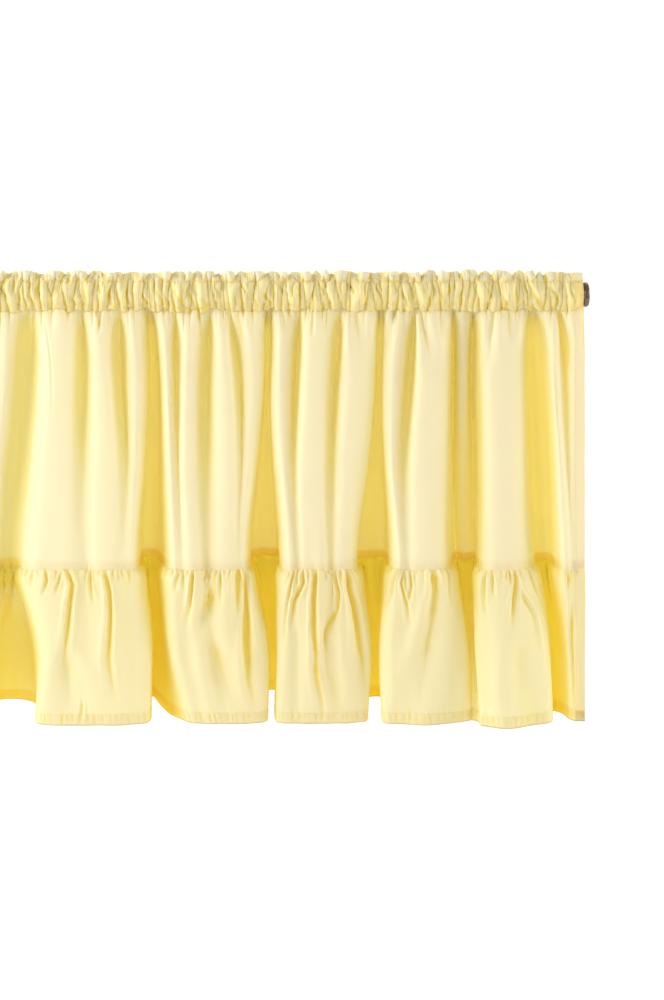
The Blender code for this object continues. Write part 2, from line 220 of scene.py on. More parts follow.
def down_the_folds(values, heights):
    """Values given at FOLD_LEVELS_Z, read at many heights."""
    slopes = np.gradient(values, FOLD_LEVELS_Z, axis=0)
    last = len(FOLD_LEVELS_Z) - 2
    above = np.clip(np.searchsorted(-FOLD_LEVELS_Z, -heights, side="right") - 1, 0, last)
    span = (FOLD_LEVELS_Z[above + 1] - FOLD_LEVELS_Z[above])[:, None]
    part = (heights[:, None] - FOLD_LEVELS_Z[above][:, None]) / span
    return cubic(values[above], values[above + 1], slopes[above] * span,
                 slopes[above + 1] * span, part)


def plan_nodes(heights):
    """True x and y of every fold line at many heights: an array of heights by lines by 2."""
    y = down_the_folds(FOLD_Y, heights)
    share = (STATION_DISTANCE + y - SIGHT_PLANE_Y) / STATION_DISTANCE
    x = STATION_X + (down_the_folds(FOLD_X, heights) - STATION_X) * share
    return np.stack([x, y], axis=2)


def across_the_folds(nodes, line, part):
    """A smooth curve through the fold lines at each height, read at columns (line, part)."""
    step = np.diff(nodes, axis=1)
    knot = np.sqrt(np.maximum(np.linalg.norm(step, axis=2), 0.5))[:, :, None]
    rate = step / knot
    tangent = np.concatenate([rate[:, :1], rate[:, :-1], rate[:, -1:]], axis=1)
    before, after = knot[:, :-1], knot[:, 1:]
    tangent[:, 1:-1] = (rate[:, :-1] * after + rate[:, 1:] * before) / (before + after)
    length = knot[:, line]
    return cubic(nodes[:, line], nodes[:, line + 1], tangent[:, line] * length,
                 tangent[:, line + 1] * length, part[None, :, None])


# %% Columns of the cloth, closer together on the fronts of the folds than behind them
FRONT_STEP, BACK_STEP = 0.85, 1.7
FRONT_OF_Y = -8.0
coarser = 1.0


def make_columns(levels):
    """Which fold line each column follows, how far it is to the next, and its place along."""
    nodes = plan_nodes(levels)
    lengths = np.linalg.norm(np.diff(nodes, axis=1), axis=2).mean(axis=0)
    depth = nodes[:, :, 1].mean(axis=0)
    line, part, along = [], [], []
    start = 0.0
    for index, length in enumerate(lengths):
        in_front = max(depth[index], depth[index + 1]) < FRONT_OF_Y
        step = (FRONT_STEP if in_front else BACK_STEP) * coarser
        count = max(2, int(round(length / step)))
        steps = np.arange(count) / count
        line += [index] * count
        part += steps.tolist()
        along += (start + steps * length).tolist()
        start += length
    line.append(len(lengths) - 1)
    part.append(1.0)
    along.append(start)
    return np.array(line), np.array(part), np.array(along)


panel_columns = make_columns(FOLD_LEVELS_Z[2:5])
ruffle_columns = make_columns(FOLD_LEVELS_Z[4:])
print("panel columns:", len(panel_columns[0]), "cloth width:", round(panel_columns[2][-1]), "mm")
print("ruffle columns:", len(ruffle_columns[0]), "cloth width:", round(ruffle_columns[2][-1]), "mm")

# %% [markdown]
# ## Helpers for sheets
# A sheet is a grid of points. Its normals come from the two directions of the grid, and every
# pucker or crease is a push along them, as a Displace modifier would give, but placed one by one.

# %% Grid helpers
def grid_normals(grid):
    """Unit normals of a grid of points, towards the front of the cloth."""
    across = np.gradient(grid, axis=1)
    down = np.gradient(grid, axis=0)
    normal = np.cross(down, across)
    return normal / np.maximum(np.linalg.norm(normal, axis=2, keepdims=True), 1e-9)


def blur(values, passes, axis):
    """Rounds off a grid with a small kernel, keeping its rims."""
    for _ in range(passes):
        moved = np.moveaxis(values, axis, 0)
        inner = (moved[:-2] + 2 * moved[1:-1] + moved[2:]) / 4
        values = np.moveaxis(np.concatenate([moved[:1], inner, moved[-1:]]), 0, axis)
    return values


def soft_noise(seed, across, down, across_scale, down_scale):
    """Smooth random waves, about one unit high, on a grid of places across and down."""
    random = np.random.default_rng(seed)
    width = int(np.ptp(across) / across_scale) + 3
    height = int(np.ptp(down) / down_scale) + 3
    knots = random.uniform(-1.0, 1.0, (height, width))
    u = (across - across.min()) / across_scale
    v = (down - down.min()) / down_scale
    left, low = u.astype(int), v.astype(int)
    u = smooth_step(u - left)[None, :]
    v = smooth_step(v - low)[:, None]
    lower = knots[low][:, left] * (1 - u) + knots[low][:, left + 1] * u
    upper = knots[low + 1][:, left] * (1 - u) + knots[low + 1][:, left + 1] * u
    return lower * (1 - v) + upper * v


def along_noise(seed, x, scale):
    """Smooth random waves along a line."""
    return soft_noise(seed, x, np.zeros(1), scale, 1.0)[0]


def places_along(points):
    """How far along a line each of its points lies."""
    return np.concatenate([[0.0], np.cumsum(np.linalg.norm(np.diff(points, axis=0), axis=1))])


# %% A mesh from a grid
def add_object(name, data):
    item = bpy.data.objects.new(name, data)
    bpy.context.scene.collection.objects.link(item)
    return item


def sheet_mesh(name, grid, uv, shading):
    """A mesh of quads through a grid of points, with its cloth UV map and point attributes."""
    rows, columns = grid.shape[:2]
    corner = (np.arange(rows - 1)[:, None] * columns + np.arange(columns - 1)[None, :]).ravel()
    faces = np.stack([corner, corner + columns, corner + columns + 1, corner + 1], axis=1)
    mesh = bpy.data.meshes.new(name)
    mesh.vertices.add(rows * columns)
    mesh.vertices.foreach_set("co", (grid * MM).astype(np.float32).ravel())
    mesh.loops.add(faces.size)
    mesh.loops.foreach_set("vertex_index", faces.ravel().astype(np.int32))
    mesh.polygons.add(len(faces))
    mesh.polygons.foreach_set("loop_start", np.arange(0, faces.size, 4, dtype=np.int32))
    mesh.update(calc_edges=True)
    mesh.validate()
    mesh.shade_smooth()
    uv_map = mesh.uv_layers.new(name="cloth")
    uv_map.data.foreach_set("uv", (uv.reshape(-1, 2)[faces.ravel()] * MM).ravel())
    for label, values in shading.items():
        attribute = mesh.attributes.new(label, "FLOAT", "POINT")
        attribute.data.foreach_set("value", values.astype(np.float32).ravel())
    return add_object(name, mesh)


# %% [markdown]
# ## Letting the cloth settle
# Gathered cloth has more width than it hangs on, and it finds its own small folds. Blender's
# Cloth modifier with pinned rows is one way to find them. These few lines are another, which
# takes seconds and keeps close to the fold lines: every edge returns to the length it was cut
# to, again and again, and sewn rows stay put.

# %% Settling
def edge_pull(cloth, rest, stiffness, first, second):
    """Moves the two ends of every edge towards the edge's own length."""
    way = cloth[second] - cloth[first]
    length = np.sqrt((way * way).sum(axis=2, keepdims=True)) + 1e-6
    way *= 0.5 * stiffness * (1.0 - rest[:, :, None] / length)
    cloth[first] += way
    cloth[second] -= way


ALL = slice(None)
ENDS = [0, -1]
LESS, MORE, INNER = slice(None, -1), slice(1, None), slice(1, -1)
EDGES = {"across": ((ALL, LESS), (ALL, MORE)), "down": ((LESS, ALL), (MORE, ALL)),
         "falling": ((LESS, LESS), (MORE, MORE)), "rising": ((MORE, LESS), (LESS, MORE))}
STIFFNESS = {"across": 0.55, "down": 0.55, "falling": 0.1, "rising": 0.1}
KEPT_SPEED = 0.8


def edge_lengths(grid, name):
    first, second = EDGES[name]
    return np.linalg.norm(grid[second] - grid[first], axis=2)


def settle(grid, base, fullness, held, rounds, stiff_across, stiff_down, pull, block=None):
    """Lets gathered cloth find its own creases. Each edge of the grid returns to the length it
    was cut to, a little bending stiffness rounds it, and rows that are sewn stay where they are."""
    across = edge_lengths(base, "across") * fullness
    down = edge_lengths(base, "down")
    square = (across[LESS] + across[MORE]) / 2, (down[:, LESS] + down[:, MORE]) / 2
    slanted = np.hypot(*square)
    rest = {"across": across, "down": down, "falling": slanted, "rising": slanted}
    rest = {name: lengths.astype(np.float32) for name, lengths in rest.items()}
    cloth = grid.astype(np.float32)
    start, before = cloth.copy(), cloth.copy()
    for _ in range(rounds):
        moved = cloth + KEPT_SPEED * (cloth - before)
        before, cloth = cloth, moved
        for name, (first, second) in EDGES.items():
            edge_pull(cloth, rest[name], STIFFNESS[name], first, second)
        bend = cloth[:, :-2] + cloth[:, 2:] - 2 * cloth[:, INNER]
        cloth[:, INNER] += stiff_across * bend
        bend = cloth[:-2] + cloth[2:] - 2 * cloth[INNER]
        cloth[INNER] += stiff_down * bend
        cloth += pull * (start - cloth)
        cloth[held] = start[held]
        cloth[:, ENDS, 0] = start[:, ENDS, 0]
        if block is not None:
            block(cloth)
    return cloth.astype(float)


# %% [markdown]
# ## What the material has to know
# Light behaves differently on a crest, in a dip, in a sharp crease and at the bottom of a fold.
# Each sheet therefore carries numbers for its points, measured from its shape, and the material
# reads them with Attribute nodes to paint shade into the colour in dips, creases and deep folds.

# %% Creases, dips and depth
def widest(height, window):
    """The highest value within a window of columns either side."""
    step = 1
    while step <= window:
        padded = np.pad(height, ((0, 0), (step, step)), mode="edge")
        height = np.maximum(height, np.maximum(padded[:, :-2 * step], padded[:, 2 * step:]))
        step *= 2
    return height


FINE_WINDOW, FINE_FULL = 2, 2.0
BROAD_WINDOW, BROAD_FULL = 15, 10.5


def crease_share(height):
    """How far each point lies in a narrow crease, from 0 to 1, which sets painted crease shade:
    valleys narrower than the window are filled, slopes are not, and the filling is what is measured."""
    filled = -widest(-widest(height, FINE_WINDOW), FINE_WINDOW)
    return np.clip((filled - height) / FINE_FULL - 0.1, 0.0, 1.0)


def hollow_share(height):
    """How far each point lies in a broad dip, from 0 to 1, which sets painted shade in the dip."""
    front = blur(widest(height, BROAD_WINDOW), 2 * BROAD_WINDOW, 1)
    broad = np.clip((front - height) / BROAD_FULL, 0.0, 1.0)
    return 0.85 * broad**2.2


# How far forward the crests stand at each of FOLD_LEVELS_Z
CREST_Y = np.array([TOP_Y - 5.0, -14.0, -24.0, -29.0, -33.0, -42.0, -49.0])
TROUGH_DEPTH = 46.0
# Painted shade: the open fold gets less of it, and a band just under the seam in it gets more.
OPEN_FOLD_X, OPEN_FOLD_REACH, OPEN_FOLD_PALER = -190.0, 30.0, 0.42
SEAM_SHADE, SEAM_SHADE_HEIGHT, SHADED_FROM = 0.25, 14.0, 0.3


def painted_fold_shade(grid):
    """How much painted fold shade each point gets, from how far back it lies behind the crests: 0 on
    a crest, 1 at the bottom of a fold. One fold is wide open, so light reaches its bottom and it
    gets less painted shade, save just under the seam, where a band of painted shade is added."""
    crest = np.interp(grid[:, :, 2], FOLD_LEVELS_Z[::-1], CREST_Y[::-1])
    depth = np.clip((grid[:, :, 1] - crest) / TROUGH_DEPTH, 0.0, 1.0)
    away = (grid[:, :, 0] - OPEN_FOLD_X) / OPEN_FOLD_REACH
    is_open = np.exp(-away**4)
    below = (grid[:, :, 2] - SEAM_Z + 0.6 * SEAM_SHADE_HEIGHT) / SEAM_SHADE_HEIGHT
    shaded = is_open * np.exp(-below**4) * (depth > SHADED_FROM)
    return depth * (1.0 - OPEN_FOLD_PALER * is_open * (1.0 - shaded)) + SEAM_SHADE * shaded


# %% [markdown]
# ## Gathers
# Gathering packs the cloth into puffs with a sharp crease between each two. The creases are
# uneven, so their places are taken from the fold lines first, and wide gaps are then divided at
# random with a fixed seed.

# %% Places of the gathers
def divide(places, narrow, wide, seed):
    """Adds places until every gap is between narrow and wide, at random but always the same."""
    random = np.random.default_rng(seed)
    result = [places[0]]
    for place in places[1:]:
        while place - result[-1] > wide + narrow * 0.5:
            result.append(result[-1] + random.uniform(narrow, wide))
        if place - result[-1] > narrow * 0.55:
            result.append(place)
    return np.array(result)


PUFF_ROUND, WIDEST_PUFF = 0.62, 15.0


def puffs(places, x):
    """Height of the puffs between creases, 0 in a crease, the number of the puff, and the part
    of the way across it."""
    number = np.clip(np.searchsorted(places, x, side="right") - 1, 0, len(places) - 2)
    pitch = places[number + 1] - places[number]
    part = np.clip((x - places[number]) / pitch, 0.0, 1.0)
    height = (4.0 * part * (1.0 - part)) ** PUFF_ROUND * np.minimum(pitch, WIDEST_PUFF)
    return height, number, part


def leaning(places, lean, least, seed):
    """The same creases a little way on: each has slid sideways, but none crosses another."""
    random = np.random.default_rng(seed)
    sign = np.where(np.arange(len(places)) % 2 == 0, 1.0, -1.0)
    sign *= np.where(random.uniform(0.0, 1.0, len(places)) < 0.25, -1.0, 1.0)
    moved = places + sign * random.uniform(0.35 * lean, lean, len(places))
    moved[0], moved[-1] = places[0], places[-1]
    moved = np.sort(moved)
    for index in range(1, len(moved)):
        moved[index] = max(moved[index], moved[index - 1] + least)
    stretch = (places[-1] - places[0]) / (moved[-1] - moved[0])
    return places[0] + (moved - moved[0]) * stretch


# %% Gathers of the heading: at the lower and upper stitching, between them, and in the frill
HEADING_END = 380.2
BEFORE_RIGHT_END = 366.0
LEAST_GAP, FRILL_GAP = 1.6, 3.6
CREASE_LEAN, FORK_LEAN = 6.5, 1.5
MEAN_PUFF = 6.0
NARROW_PUFF, WIDE_PUFF = 6.0, 15.0
NARROW_FORK, WIDE_FORK = 4.5, 11.5
NARROW_LOBE, WIDE_LOBE = 5.0, 19.0
ends = np.array([-HEADING_END, HEADING_END])
on_folds = np.concatenate([ends[:1], FOLD_X[0][2:-2], [BEFORE_RIGHT_END], ends[1:]])
lower_creases = divide(on_folds, NARROW_PUFF, WIDE_PUFF, 5)
upper_creases = leaning(lower_creases, CREASE_LEAN, LEAST_GAP, 6)
lower_forks = leaning(divide(lower_creases, NARROW_FORK, WIDE_FORK, 7), FORK_LEAN, LEAST_GAP, 8)
upper_forks = leaning(divide(upper_creases, NARROW_FORK, WIDE_FORK, 9), FORK_LEAN, LEAST_GAP, 10)
frill_creases = leaning(divide(ends, NARROW_LOBE, WIDE_LOBE, 26), FORK_LEAN, FRILL_GAP, 27)
print("gathers in the heading:", len(lower_creases) - 1)

# %% [markdown]
# ## Creases placed one by one
# The longer creases start at a seam and run out on a crest. Each is a short path of sighted x and
# the drop below its seam, with a width and a depth. A negative depth makes a ridge. The push has
# the profile of a real crease: a narrow valley between two low shoulders.

# %% Creases along a path
FIRST_REACH = 14.0
BEHIND_COUNTS = 0.35
LONGEST_JUMP, JUMP_COUNTS = 25, 10.0


def columns_near(sighted, heights, grid):
    """Columns of a path: at each height the one sighted nearest to x, near the one before."""
    result = []
    for x, height in zip(sighted, heights):
        row = int(np.argmin(np.abs(grid[:, :, 2].mean(axis=1) - height)))
        share = STATION_DISTANCE / (STATION_DISTANCE + grid[row, :, 1] - SIGHT_PLANE_Y)
        seen = STATION_X + (grid[row, :, 0] - STATION_X) * share
        crest = np.interp(height, FOLD_LEVELS_Z[::-1], CREST_Y[::-1])
        behind = np.maximum(grid[row, :, 1] - crest - FIRST_REACH, 0.0)
        miss = np.abs(seen - x) + BEHIND_COUNTS * behind
        if result:
            jump = np.abs(np.arange(grid.shape[1]) - result[-1])
            miss = miss + JUMP_COUNTS * np.maximum(jump - LONGEST_JUMP, 0)
        result.append(int(np.argmin(miss)))
    return np.array(result)


SHARPEST = 5.5


def crease_push(grid, along, top_z, creases):
    """How far each point is pushed along its normal by a table of creases, and how near each point
    lies to the bottom of a sharp one, which sets painted crease shade."""
    push, line = np.zeros(grid.shape[:2]), np.zeros(grid.shape[:2])
    heights = grid[:, :, 2].mean(axis=1)
    for path, width, depth in creases:
        x, drop = np.array(path, float).T
        z = top_z - drop
        middle = np.interp(heights, z[::-1], along[columns_near(x, z, grid)][::-1])
        part = (z[0] - heights) / (z[0] - z[-1])
        inside = (part >= 0.0) & (part <= 1.0)
        part = np.clip(part, 0.0, 1.0)
        strength = np.where(inside, 1.0 - part**2, 0.0)
        if drop[0] > 0.0:
            strength *= smooth_step(part / 0.3)
        else:
            strength *= 0.3 + 0.7 * smooth_step((z[0] - heights) / 6.0)
        sharp = 0.72 if width < SHARPEST else 1.0
        spread = (sharp * width * (0.55 + 0.7 * part))[:, None]
        away = (along[None, :] - middle[:, None]) / spread
        profile = np.exp(-np.abs(away) ** 1.5)
        profile -= 0.36 * (np.exp(-((away - 1.9) / 1.0) ** 2) + np.exp(-((away + 1.9) / 1.0) ** 2))
        push -= profile * (strength * depth)[:, None]
        if width < SHARPEST and depth > 0.0:
            tight = np.clip(strength * 1.6, 0.0, 1.0)[:, None] * min(depth / 4.0, 1.0)
            line = np.maximum(line, tight * np.exp(-(away / 0.42) ** 2))
    return push, line


# %% Short creases at random places along a seam
TICK_SLANT, TICK_REACH = 0.35, 9.0
TICK_NARROW, TICK_WIDE = 0.85, 1.6


def valley(away, roundness, shoulder, place, spread):
    """The profile of a crease: a valley, and a low shoulder on either side of it."""
    away = np.abs(away)
    return np.exp(-away**roundness) - shoulder * np.exp(-((away - place) / spread) ** 2)


def tick_creases(along, narrow, wide, seed, short, long, depth):
    """Short creases at random places, for crease_along: place, slant, length, width, depth."""
    random = np.random.default_rng(seed)
    places = divide(np.array([along[0], along[-1]]), narrow, wide, seed + 1)[1:-1]
    count = len(places)
    return np.stack([places, random.uniform(-TICK_SLANT, TICK_SLANT, count),
                     short + (long - short) * random.uniform(0.0, 1.0, count) ** 2,
                     random.uniform(TICK_NARROW, TICK_WIDE, count),
                     depth * random.uniform(0.5, 1.0, count)], axis=1)


def crease_along(drop, along, ticks):
    """The push of many short creases that start at a seam, drop 0, and fade below it, and how near
    each point lies to the bottom of one, which sets painted crease shade."""
    push, line = np.zeros((len(drop), len(along))), np.zeros((len(drop), len(along)))
    for place, slant, length, width, depth in ticks:
        near = np.flatnonzero(np.abs(along - place) < TICK_REACH + abs(slant) * length)
        part = np.clip(drop / length, 0.0, 1.0)
        away = (along[near][None, :] - place - slant * drop[:, None])
        away = away / (width * (0.7 + 1.2 * part))[:, None]
        begins = smooth_step((drop + 0.4) / 1.5)
        fading = depth * begins * (1.0 - part) ** 1.2
        push[:, near] -= valley(away, 1.4, 0.3, 2.0, 1.1) * fading[:, None]
        tight = (begins * (1.0 - part) ** 0.6 * (drop >= 0.0) * min(depth / 2.0, 1.0))[:, None]
        line[:, near] = np.maximum(line[:, near], tight * np.exp(-(away / 0.6) ** 2))
    return push, line


# %% Creases of the panel: path of (sighted x, drop below the stitching), width, depth
PANEL_CREASES = (
    (((-160, 2), (-154, 46), (-151, 107)), 2.2, 1.1),
    (((80, 0), (81, 24)), 2.2, 2.2),
    (((109, 0), (108, 30)), 2.4, 2.4),
    (((123, 0), (122, 26)), 2.4, 2.4),
    (((152, 0), (154, 20), (157, 58)), 5.8, 4.0),
    (((191, 0), (187, 22), (183, 54)), 6.0, 2.6),
    (((217, 0), (222, 24), (229, 66)), 6.4, 4.4),
    (((290, 0), (287, 28), (284, 62)), 6.0, 4.2),
    (((305, 0), (306, 20), (307, 46)), 5.6, 3.4),
    (((354, 0), (360, 30), (365, 68)), 6.0, 4.0),
    (((-122, 0), (-120, 40)), 2.6, 3.0),
    (((-103, 0), (-106, 26)), 2.4, 2.4),
    (((-6, 0), (-2, 30)), 2.6, 2.6),
    (((34, 0), (38, 34)), 2.6, 2.8),
    (((-282, 0), (-286, 36)), 2.8, 3.2),
    (((-348, 0), (-344, 44)), 2.8, 3.4),
    (((-262, 0), (-264, 24)), 2.4, 2.6),
)

# %% [markdown]
# ## The panel
# The front cloth hangs from the lower stitching of the pocket to the seam of the ruffle. It is
# built on the fold lines, then gathered at its top: each puff of the heading runs out over its
# own length. The side hems are the same sheet folded back on itself, so they show as a second
# layer where light comes through.

# %% Rows of the panel
def panel_heights():
    fine = np.arange(0.0, 50.0, 1.7)
    low = SEAM_Z + ALLOWANCE + 1.0
    coarse = np.arange(53.0, LOWER_STITCH_Z - low - 3.0, 5.3)
    seam = LOWER_STITCH_Z - low + (ALLOWANCE + 1.0) * np.linspace(0.0, 1.0, 5)
    return LOWER_STITCH_Z - np.concatenate([fine, coarse, seam])


def fold_surface(heights, columns):
    line, part, _ = columns
    plan = across_the_folds(plan_nodes(heights), line, part)
    height = np.broadcast_to(heights[:, None, None], plan.shape[:2] + (1,))
    return np.concatenate([plan, height], axis=2)


# %% [markdown]
# ## Hems
# A side hem is the edge of the same sheet folded back behind it. Making the fold in the grid, and
# not as a second piece, keeps the edge closed and lets the two layers show against the light.

# %% Side hems
def turn_back(grid, along_size, width, gap):
    """Folds both side edges of a grid back by a width, behind the cloth, as a side hem."""
    normal = grid_normals(grid)
    inside = int(np.searchsorted(along_size, width))
    left = grid[:, 1:inside] - normal[:, 1:inside] * gap
    last = grid.shape[1] - 1
    right = grid[:, last - inside:last] - normal[:, last - inside:last] * gap
    return np.concatenate([left[:, ::-1], grid, right[:, ::-1]], axis=1), inside


# The layers attribute sets how much light the cotton lets through, and with the fold shade a painted
# stronger shade of doubled cloth.
HIDDEN, HEMMED, SEAMED = 0.0, 2.0, 2.6


def with_side_hems(layers, inside):
    """The layers attribute of a grid whose side edges were turned back: 0 on the hidden part."""
    layers = layers.copy()
    for band in (slice(0, inside), slice(layers.shape[1] - inside, None)):
        layers[:, band] = np.maximum(layers[:, band], HEMMED)
    hidden = np.full((len(layers), inside - 1), HIDDEN)
    return np.concatenate([hidden, layers, hidden, hidden[:, :1]], axis=1)


def with_turned_sides(values, inside):
    """The values of a grid, also over the parts that were turned back."""
    last = values.shape[1] - 1
    return np.concatenate([values[:, 1:inside][:, ::-1], values,
                           values[:, last - inside:last][:, ::-1]], axis=1)


# The attributes that the cotton reads: the layers, and the painted shade of deep folds, creases and
# dips.
def shading_of(grid, layers, line):
    return {"layers": layers, "painted_fold_shade": painted_fold_shade(grid),
            "crease": np.maximum(crease_share(-grid[:, :, 1]), line),
            "painted_dip_shade": hollow_share(-grid[:, :, 1])}


def hemmed_sheet(name, grid, uv, along, layers, line):
    """A sheet from a grid, once its side hems are turned back."""
    flat_uv = np.concatenate([uv, np.zeros_like(uv[:, :, :1])], axis=2)
    wide_uv, _ = turn_back(flat_uv, along, SIDE_HEM_WIDTH, 0.0)
    wide, inside = turn_back(grid, along, SIDE_HEM_WIDTH, LAYER_GAP)
    shading = shading_of(wide, with_side_hems(layers, inside), with_turned_sides(line, inside))
    return sheet_mesh(name, wide, wide_uv[:, :, :2], shading)


# %% [markdown]
# ## Lines of stitching are never straight
# Each puff pulls on its stitches, so a sewn line wanders by a millimetre or two. The same seeded
# waves move every layer that is sewn together, or gaps would open between them.

# %% Wandering seams
STITCH_DRIFT, SEAM_DRIFT, SEAM_DRIFT_REACH = 2.1, 0.9, 9.0
LOWER_DRIFT_SEED, UPPER_DRIFT_SEED, SEAM_DRIFT_SEED = 51, 53, 57
DRIFT_END = 16.0


def flat_at_ends(x, reach):
    """1 along the heading, falling to 0 at its two ends."""
    return smooth_step((HEADING_END - np.abs(x)) / reach)


def stitch_drift(x, seed, size):
    """How far a line of gathering stitches wanders up and down, as each puff pulls on it."""
    wide = np.concatenate([[-HALF_WIDTH, HALF_WIDTH], np.clip(x, -HALF_WIDTH, HALF_WIDTH)])
    slow, quick = along_noise(seed, wide, 7.0)[2:], along_noise(seed + 1, wide, 3.6)[2:]
    return size * (slow + 0.6 * quick) * flat_at_ends(x, DRIFT_END)


def with_seam_drift(grid, heights):
    """The same wandering where panel and ruffle meet."""
    near = np.exp(-((heights - SEAM_Z) / SEAM_DRIFT_REACH) ** 2)
    at_seam = grid[int(np.argmin(np.abs(heights - SEAM_Z))), :, 0]
    grid = grid.copy()
    grid[:, :, 2] += near[:, None] * stitch_drift(at_seam, SEAM_DRIFT_SEED, SEAM_DRIFT)[None, :]
    return grid


# %% The hanging part of the panel
PUFF_RATE = 0.5
STITCH_SHARE = 0.6
FADE_SHORT, FADE_LONG = 5.0, 18.0
PANEL_ROUNDS = 260
# seed, height, size across, size down
PANEL_CRUMPLES = ((3, 1.0, 34.0, 80.0), (4, 0.5, 15.0, 50.0), (5, 0.35, 9.0, 26.0))


def crumples(along, heights, waves):
    """The soft unevenness of hanging cloth."""
    return sum(size * soft_noise(seed, along, heights, across, down)
               for seed, size, across, down in waves)


def sewn_wave(x, places):
    """The wave that all the cloth follows at a line of gathering stitches."""
    height, _, _ = puffs(places, x)
    return -PUFF_RATE * STITCH_SHARE * (height - MEAN_PUFF)


def panel_puffs(top_x, drop):
    """How far the puffs of the heading push the panel out, each fading over its own length."""
    height, number, _ = puffs(lower_creases, top_x)
    random = np.random.default_rng(11)
    fade_length = random.uniform(FADE_SHORT, FADE_LONG, len(lower_creases))
    fade_over = blur(fade_length[number][None, :], 6, 1)
    push = PUFF_RATE * height[None, :] * (STITCH_SHARE + 0.4 * smooth_step(drop / 7.0))
    return push * np.exp(-(drop / fade_over) ** 1.3)


def panel_creases(grid, heights, along):
    """Long listed creases, short ones under the stitching and over the seam."""
    push, line = crease_push(grid, along, LOWER_STITCH_Z, PANEL_CREASES)
    top_ticks = tick_creases(along, 8.0, 22.0, 12, 5.0, 24.0, 2.4)
    top_push, top_line = crease_along(LOWER_STITCH_Z - heights, along, top_ticks)
    seam_ticks = tick_creases(along, 5.0, 12.0, 14, 3.0, 9.0, 0.7)
    seam_push, seam_line = crease_along(heights - SEAM_Z, along, seam_ticks)
    push += top_push + seam_push
    return push, np.maximum(line, np.maximum(0.55 * top_line, 0.6 * seam_line))


def make_panel():
    along = panel_columns[2]
    heights = panel_heights()
    drop = (LOWER_STITCH_Z - heights)[:, None]
    base = blur(fold_surface(heights, panel_columns), 3, 1)
    top_x = base[0, :, 0]
    push = panel_puffs(top_x, drop)
    push += crumples(along, heights, PANEL_CRUMPLES) * smooth_step(drop / 40.0)
    grid = base + grid_normals(base) * push[:, :, None]
    grid[0] = np.stack([top_x, TOP_Y + sewn_wave(top_x, lower_creases),
                        np.full_like(top_x, LOWER_STITCH_Z)], axis=1)
    fullness = 1.02 + 0.36 * np.exp(-(drop[:, 0] / 12.0) ** 1.2)[:, None]
    held = np.zeros(len(heights), bool)
    held[0] = True
    held[-5:] = True
    grid = settle(grid, base, fullness, held, PANEL_ROUNDS, 0.02, 0.06, 0.004)
    push, line = panel_creases(grid, heights, along)
    grid = grid + grid_normals(grid) * push[:, :, None]
    grid[0, :, 2] = LOWER_STITCH_Z
    drift = stitch_drift(grid[0, :, 0], LOWER_DRIFT_SEED, STITCH_DRIFT)
    grid[:, :, 2] += drift[None, :] * np.exp(-drop / 8.0)
    grid = with_seam_drift(grid, heights)
    uv = np.stack(np.broadcast_arrays(along[None, :], heights[:, None]), axis=2)
    layers = np.ones(grid.shape[:2])
    layers[heights < SEAM_Z + ALLOWANCE + 0.5] = SEAMED
    return hemmed_sheet("panel_cloth", grid, uv, along, layers, line), grid, base


panel, panel_grid, panel_base = make_panel()
print("panel faces:", len(panel.data.polygons))

# %% [markdown]
# ## The heading
# Above the lower stitching the same cloth goes round the rod and stands up as a frill. Sewn
# layers follow one wave, and between the two lines of stitching the puffs swell round the rod.
# The slant of the creases changes along the rod, which gives the small V shapes of real gathers.

# %% Rows of the pocket
POCKET_RADIUS = 11.7
POCKET_END = 14.0


def crease_places(part):
    """Places of the creases on the way from the lower stitching (0) to the upper one (1)."""
    return lower_creases + (upper_creases - lower_creases) * part


def heading_row(angle, side, x, swell):
    """Points of the pocket at one angle round the rod, 0 at the front and 90 above."""
    turn = math.radians(angle)
    height, _, _ = puffs(crease_places(0.5 + angle / 180.0), x)
    upper, _, _ = puffs(upper_forks, x)
    lower, _, _ = puffs(lower_forks, x)
    fork = 0.6 * upper * max(math.sin(turn), 0.0) + 0.6 * lower * max(-math.sin(turn), 0.0)
    height = (height + fork) * np.minimum((HEADING_END - np.abs(x)) / POCKET_END, 1.0)
    reach = POCKET_RADIUS + PUFF_RATE * height * (0.3 + 0.8 * math.cos(turn) ** 2) * swell
    return np.stack([x, side * reach * math.cos(turn), reach * math.sin(turn)], axis=1)


def sewn_row(z, side, x):
    places = crease_places(1.0 if z > 0.0 else 0.0)
    y = sewn_wave(x, places) + TOP_Y * (1.0 if side < 0 else -0.3)
    return np.stack([x, y, np.full_like(x, z)], axis=1)


def pocket_layer(side, x, swell):
    """One layer of the pocket, from the lower stitching to the upper."""
    rows = [sewn_row(LOWER_STITCH_Z, side, x)]
    rows += [heading_row(angle, side, x, swell[row]) for row, angle in enumerate(POCKET_ANGLES)]
    return rows + [sewn_row(UPPER_STITCH_Z, side, x)]


def outside_rod(cloth):
    """Keeps the pocket outside the rod."""
    reach = np.hypot(cloth[:, :, 1], cloth[:, :, 2])
    nearest = POCKET_RADIUS - 0.3
    grow = np.where(reach < nearest, nearest / np.maximum(reach, 1e-3), 1.0)
    cloth[:, :, 1] *= grow
    cloth[:, :, 2] *= grow


# %% Slanted creases between the lines of stitching
SPINDLE_END = 12.0
SPINDLE_GAP = (5.0, 18.0)
SPINDLE_LEAN = (2.0, 10.5)
SPINDLE_LENGTH = (0.45, 0.95)
SPINDLE_WIDTH = (0.9, 2.2)
SPINDLE_DEPTH = (1.2, 2.6)
SPINDLE_REACH = 14.0


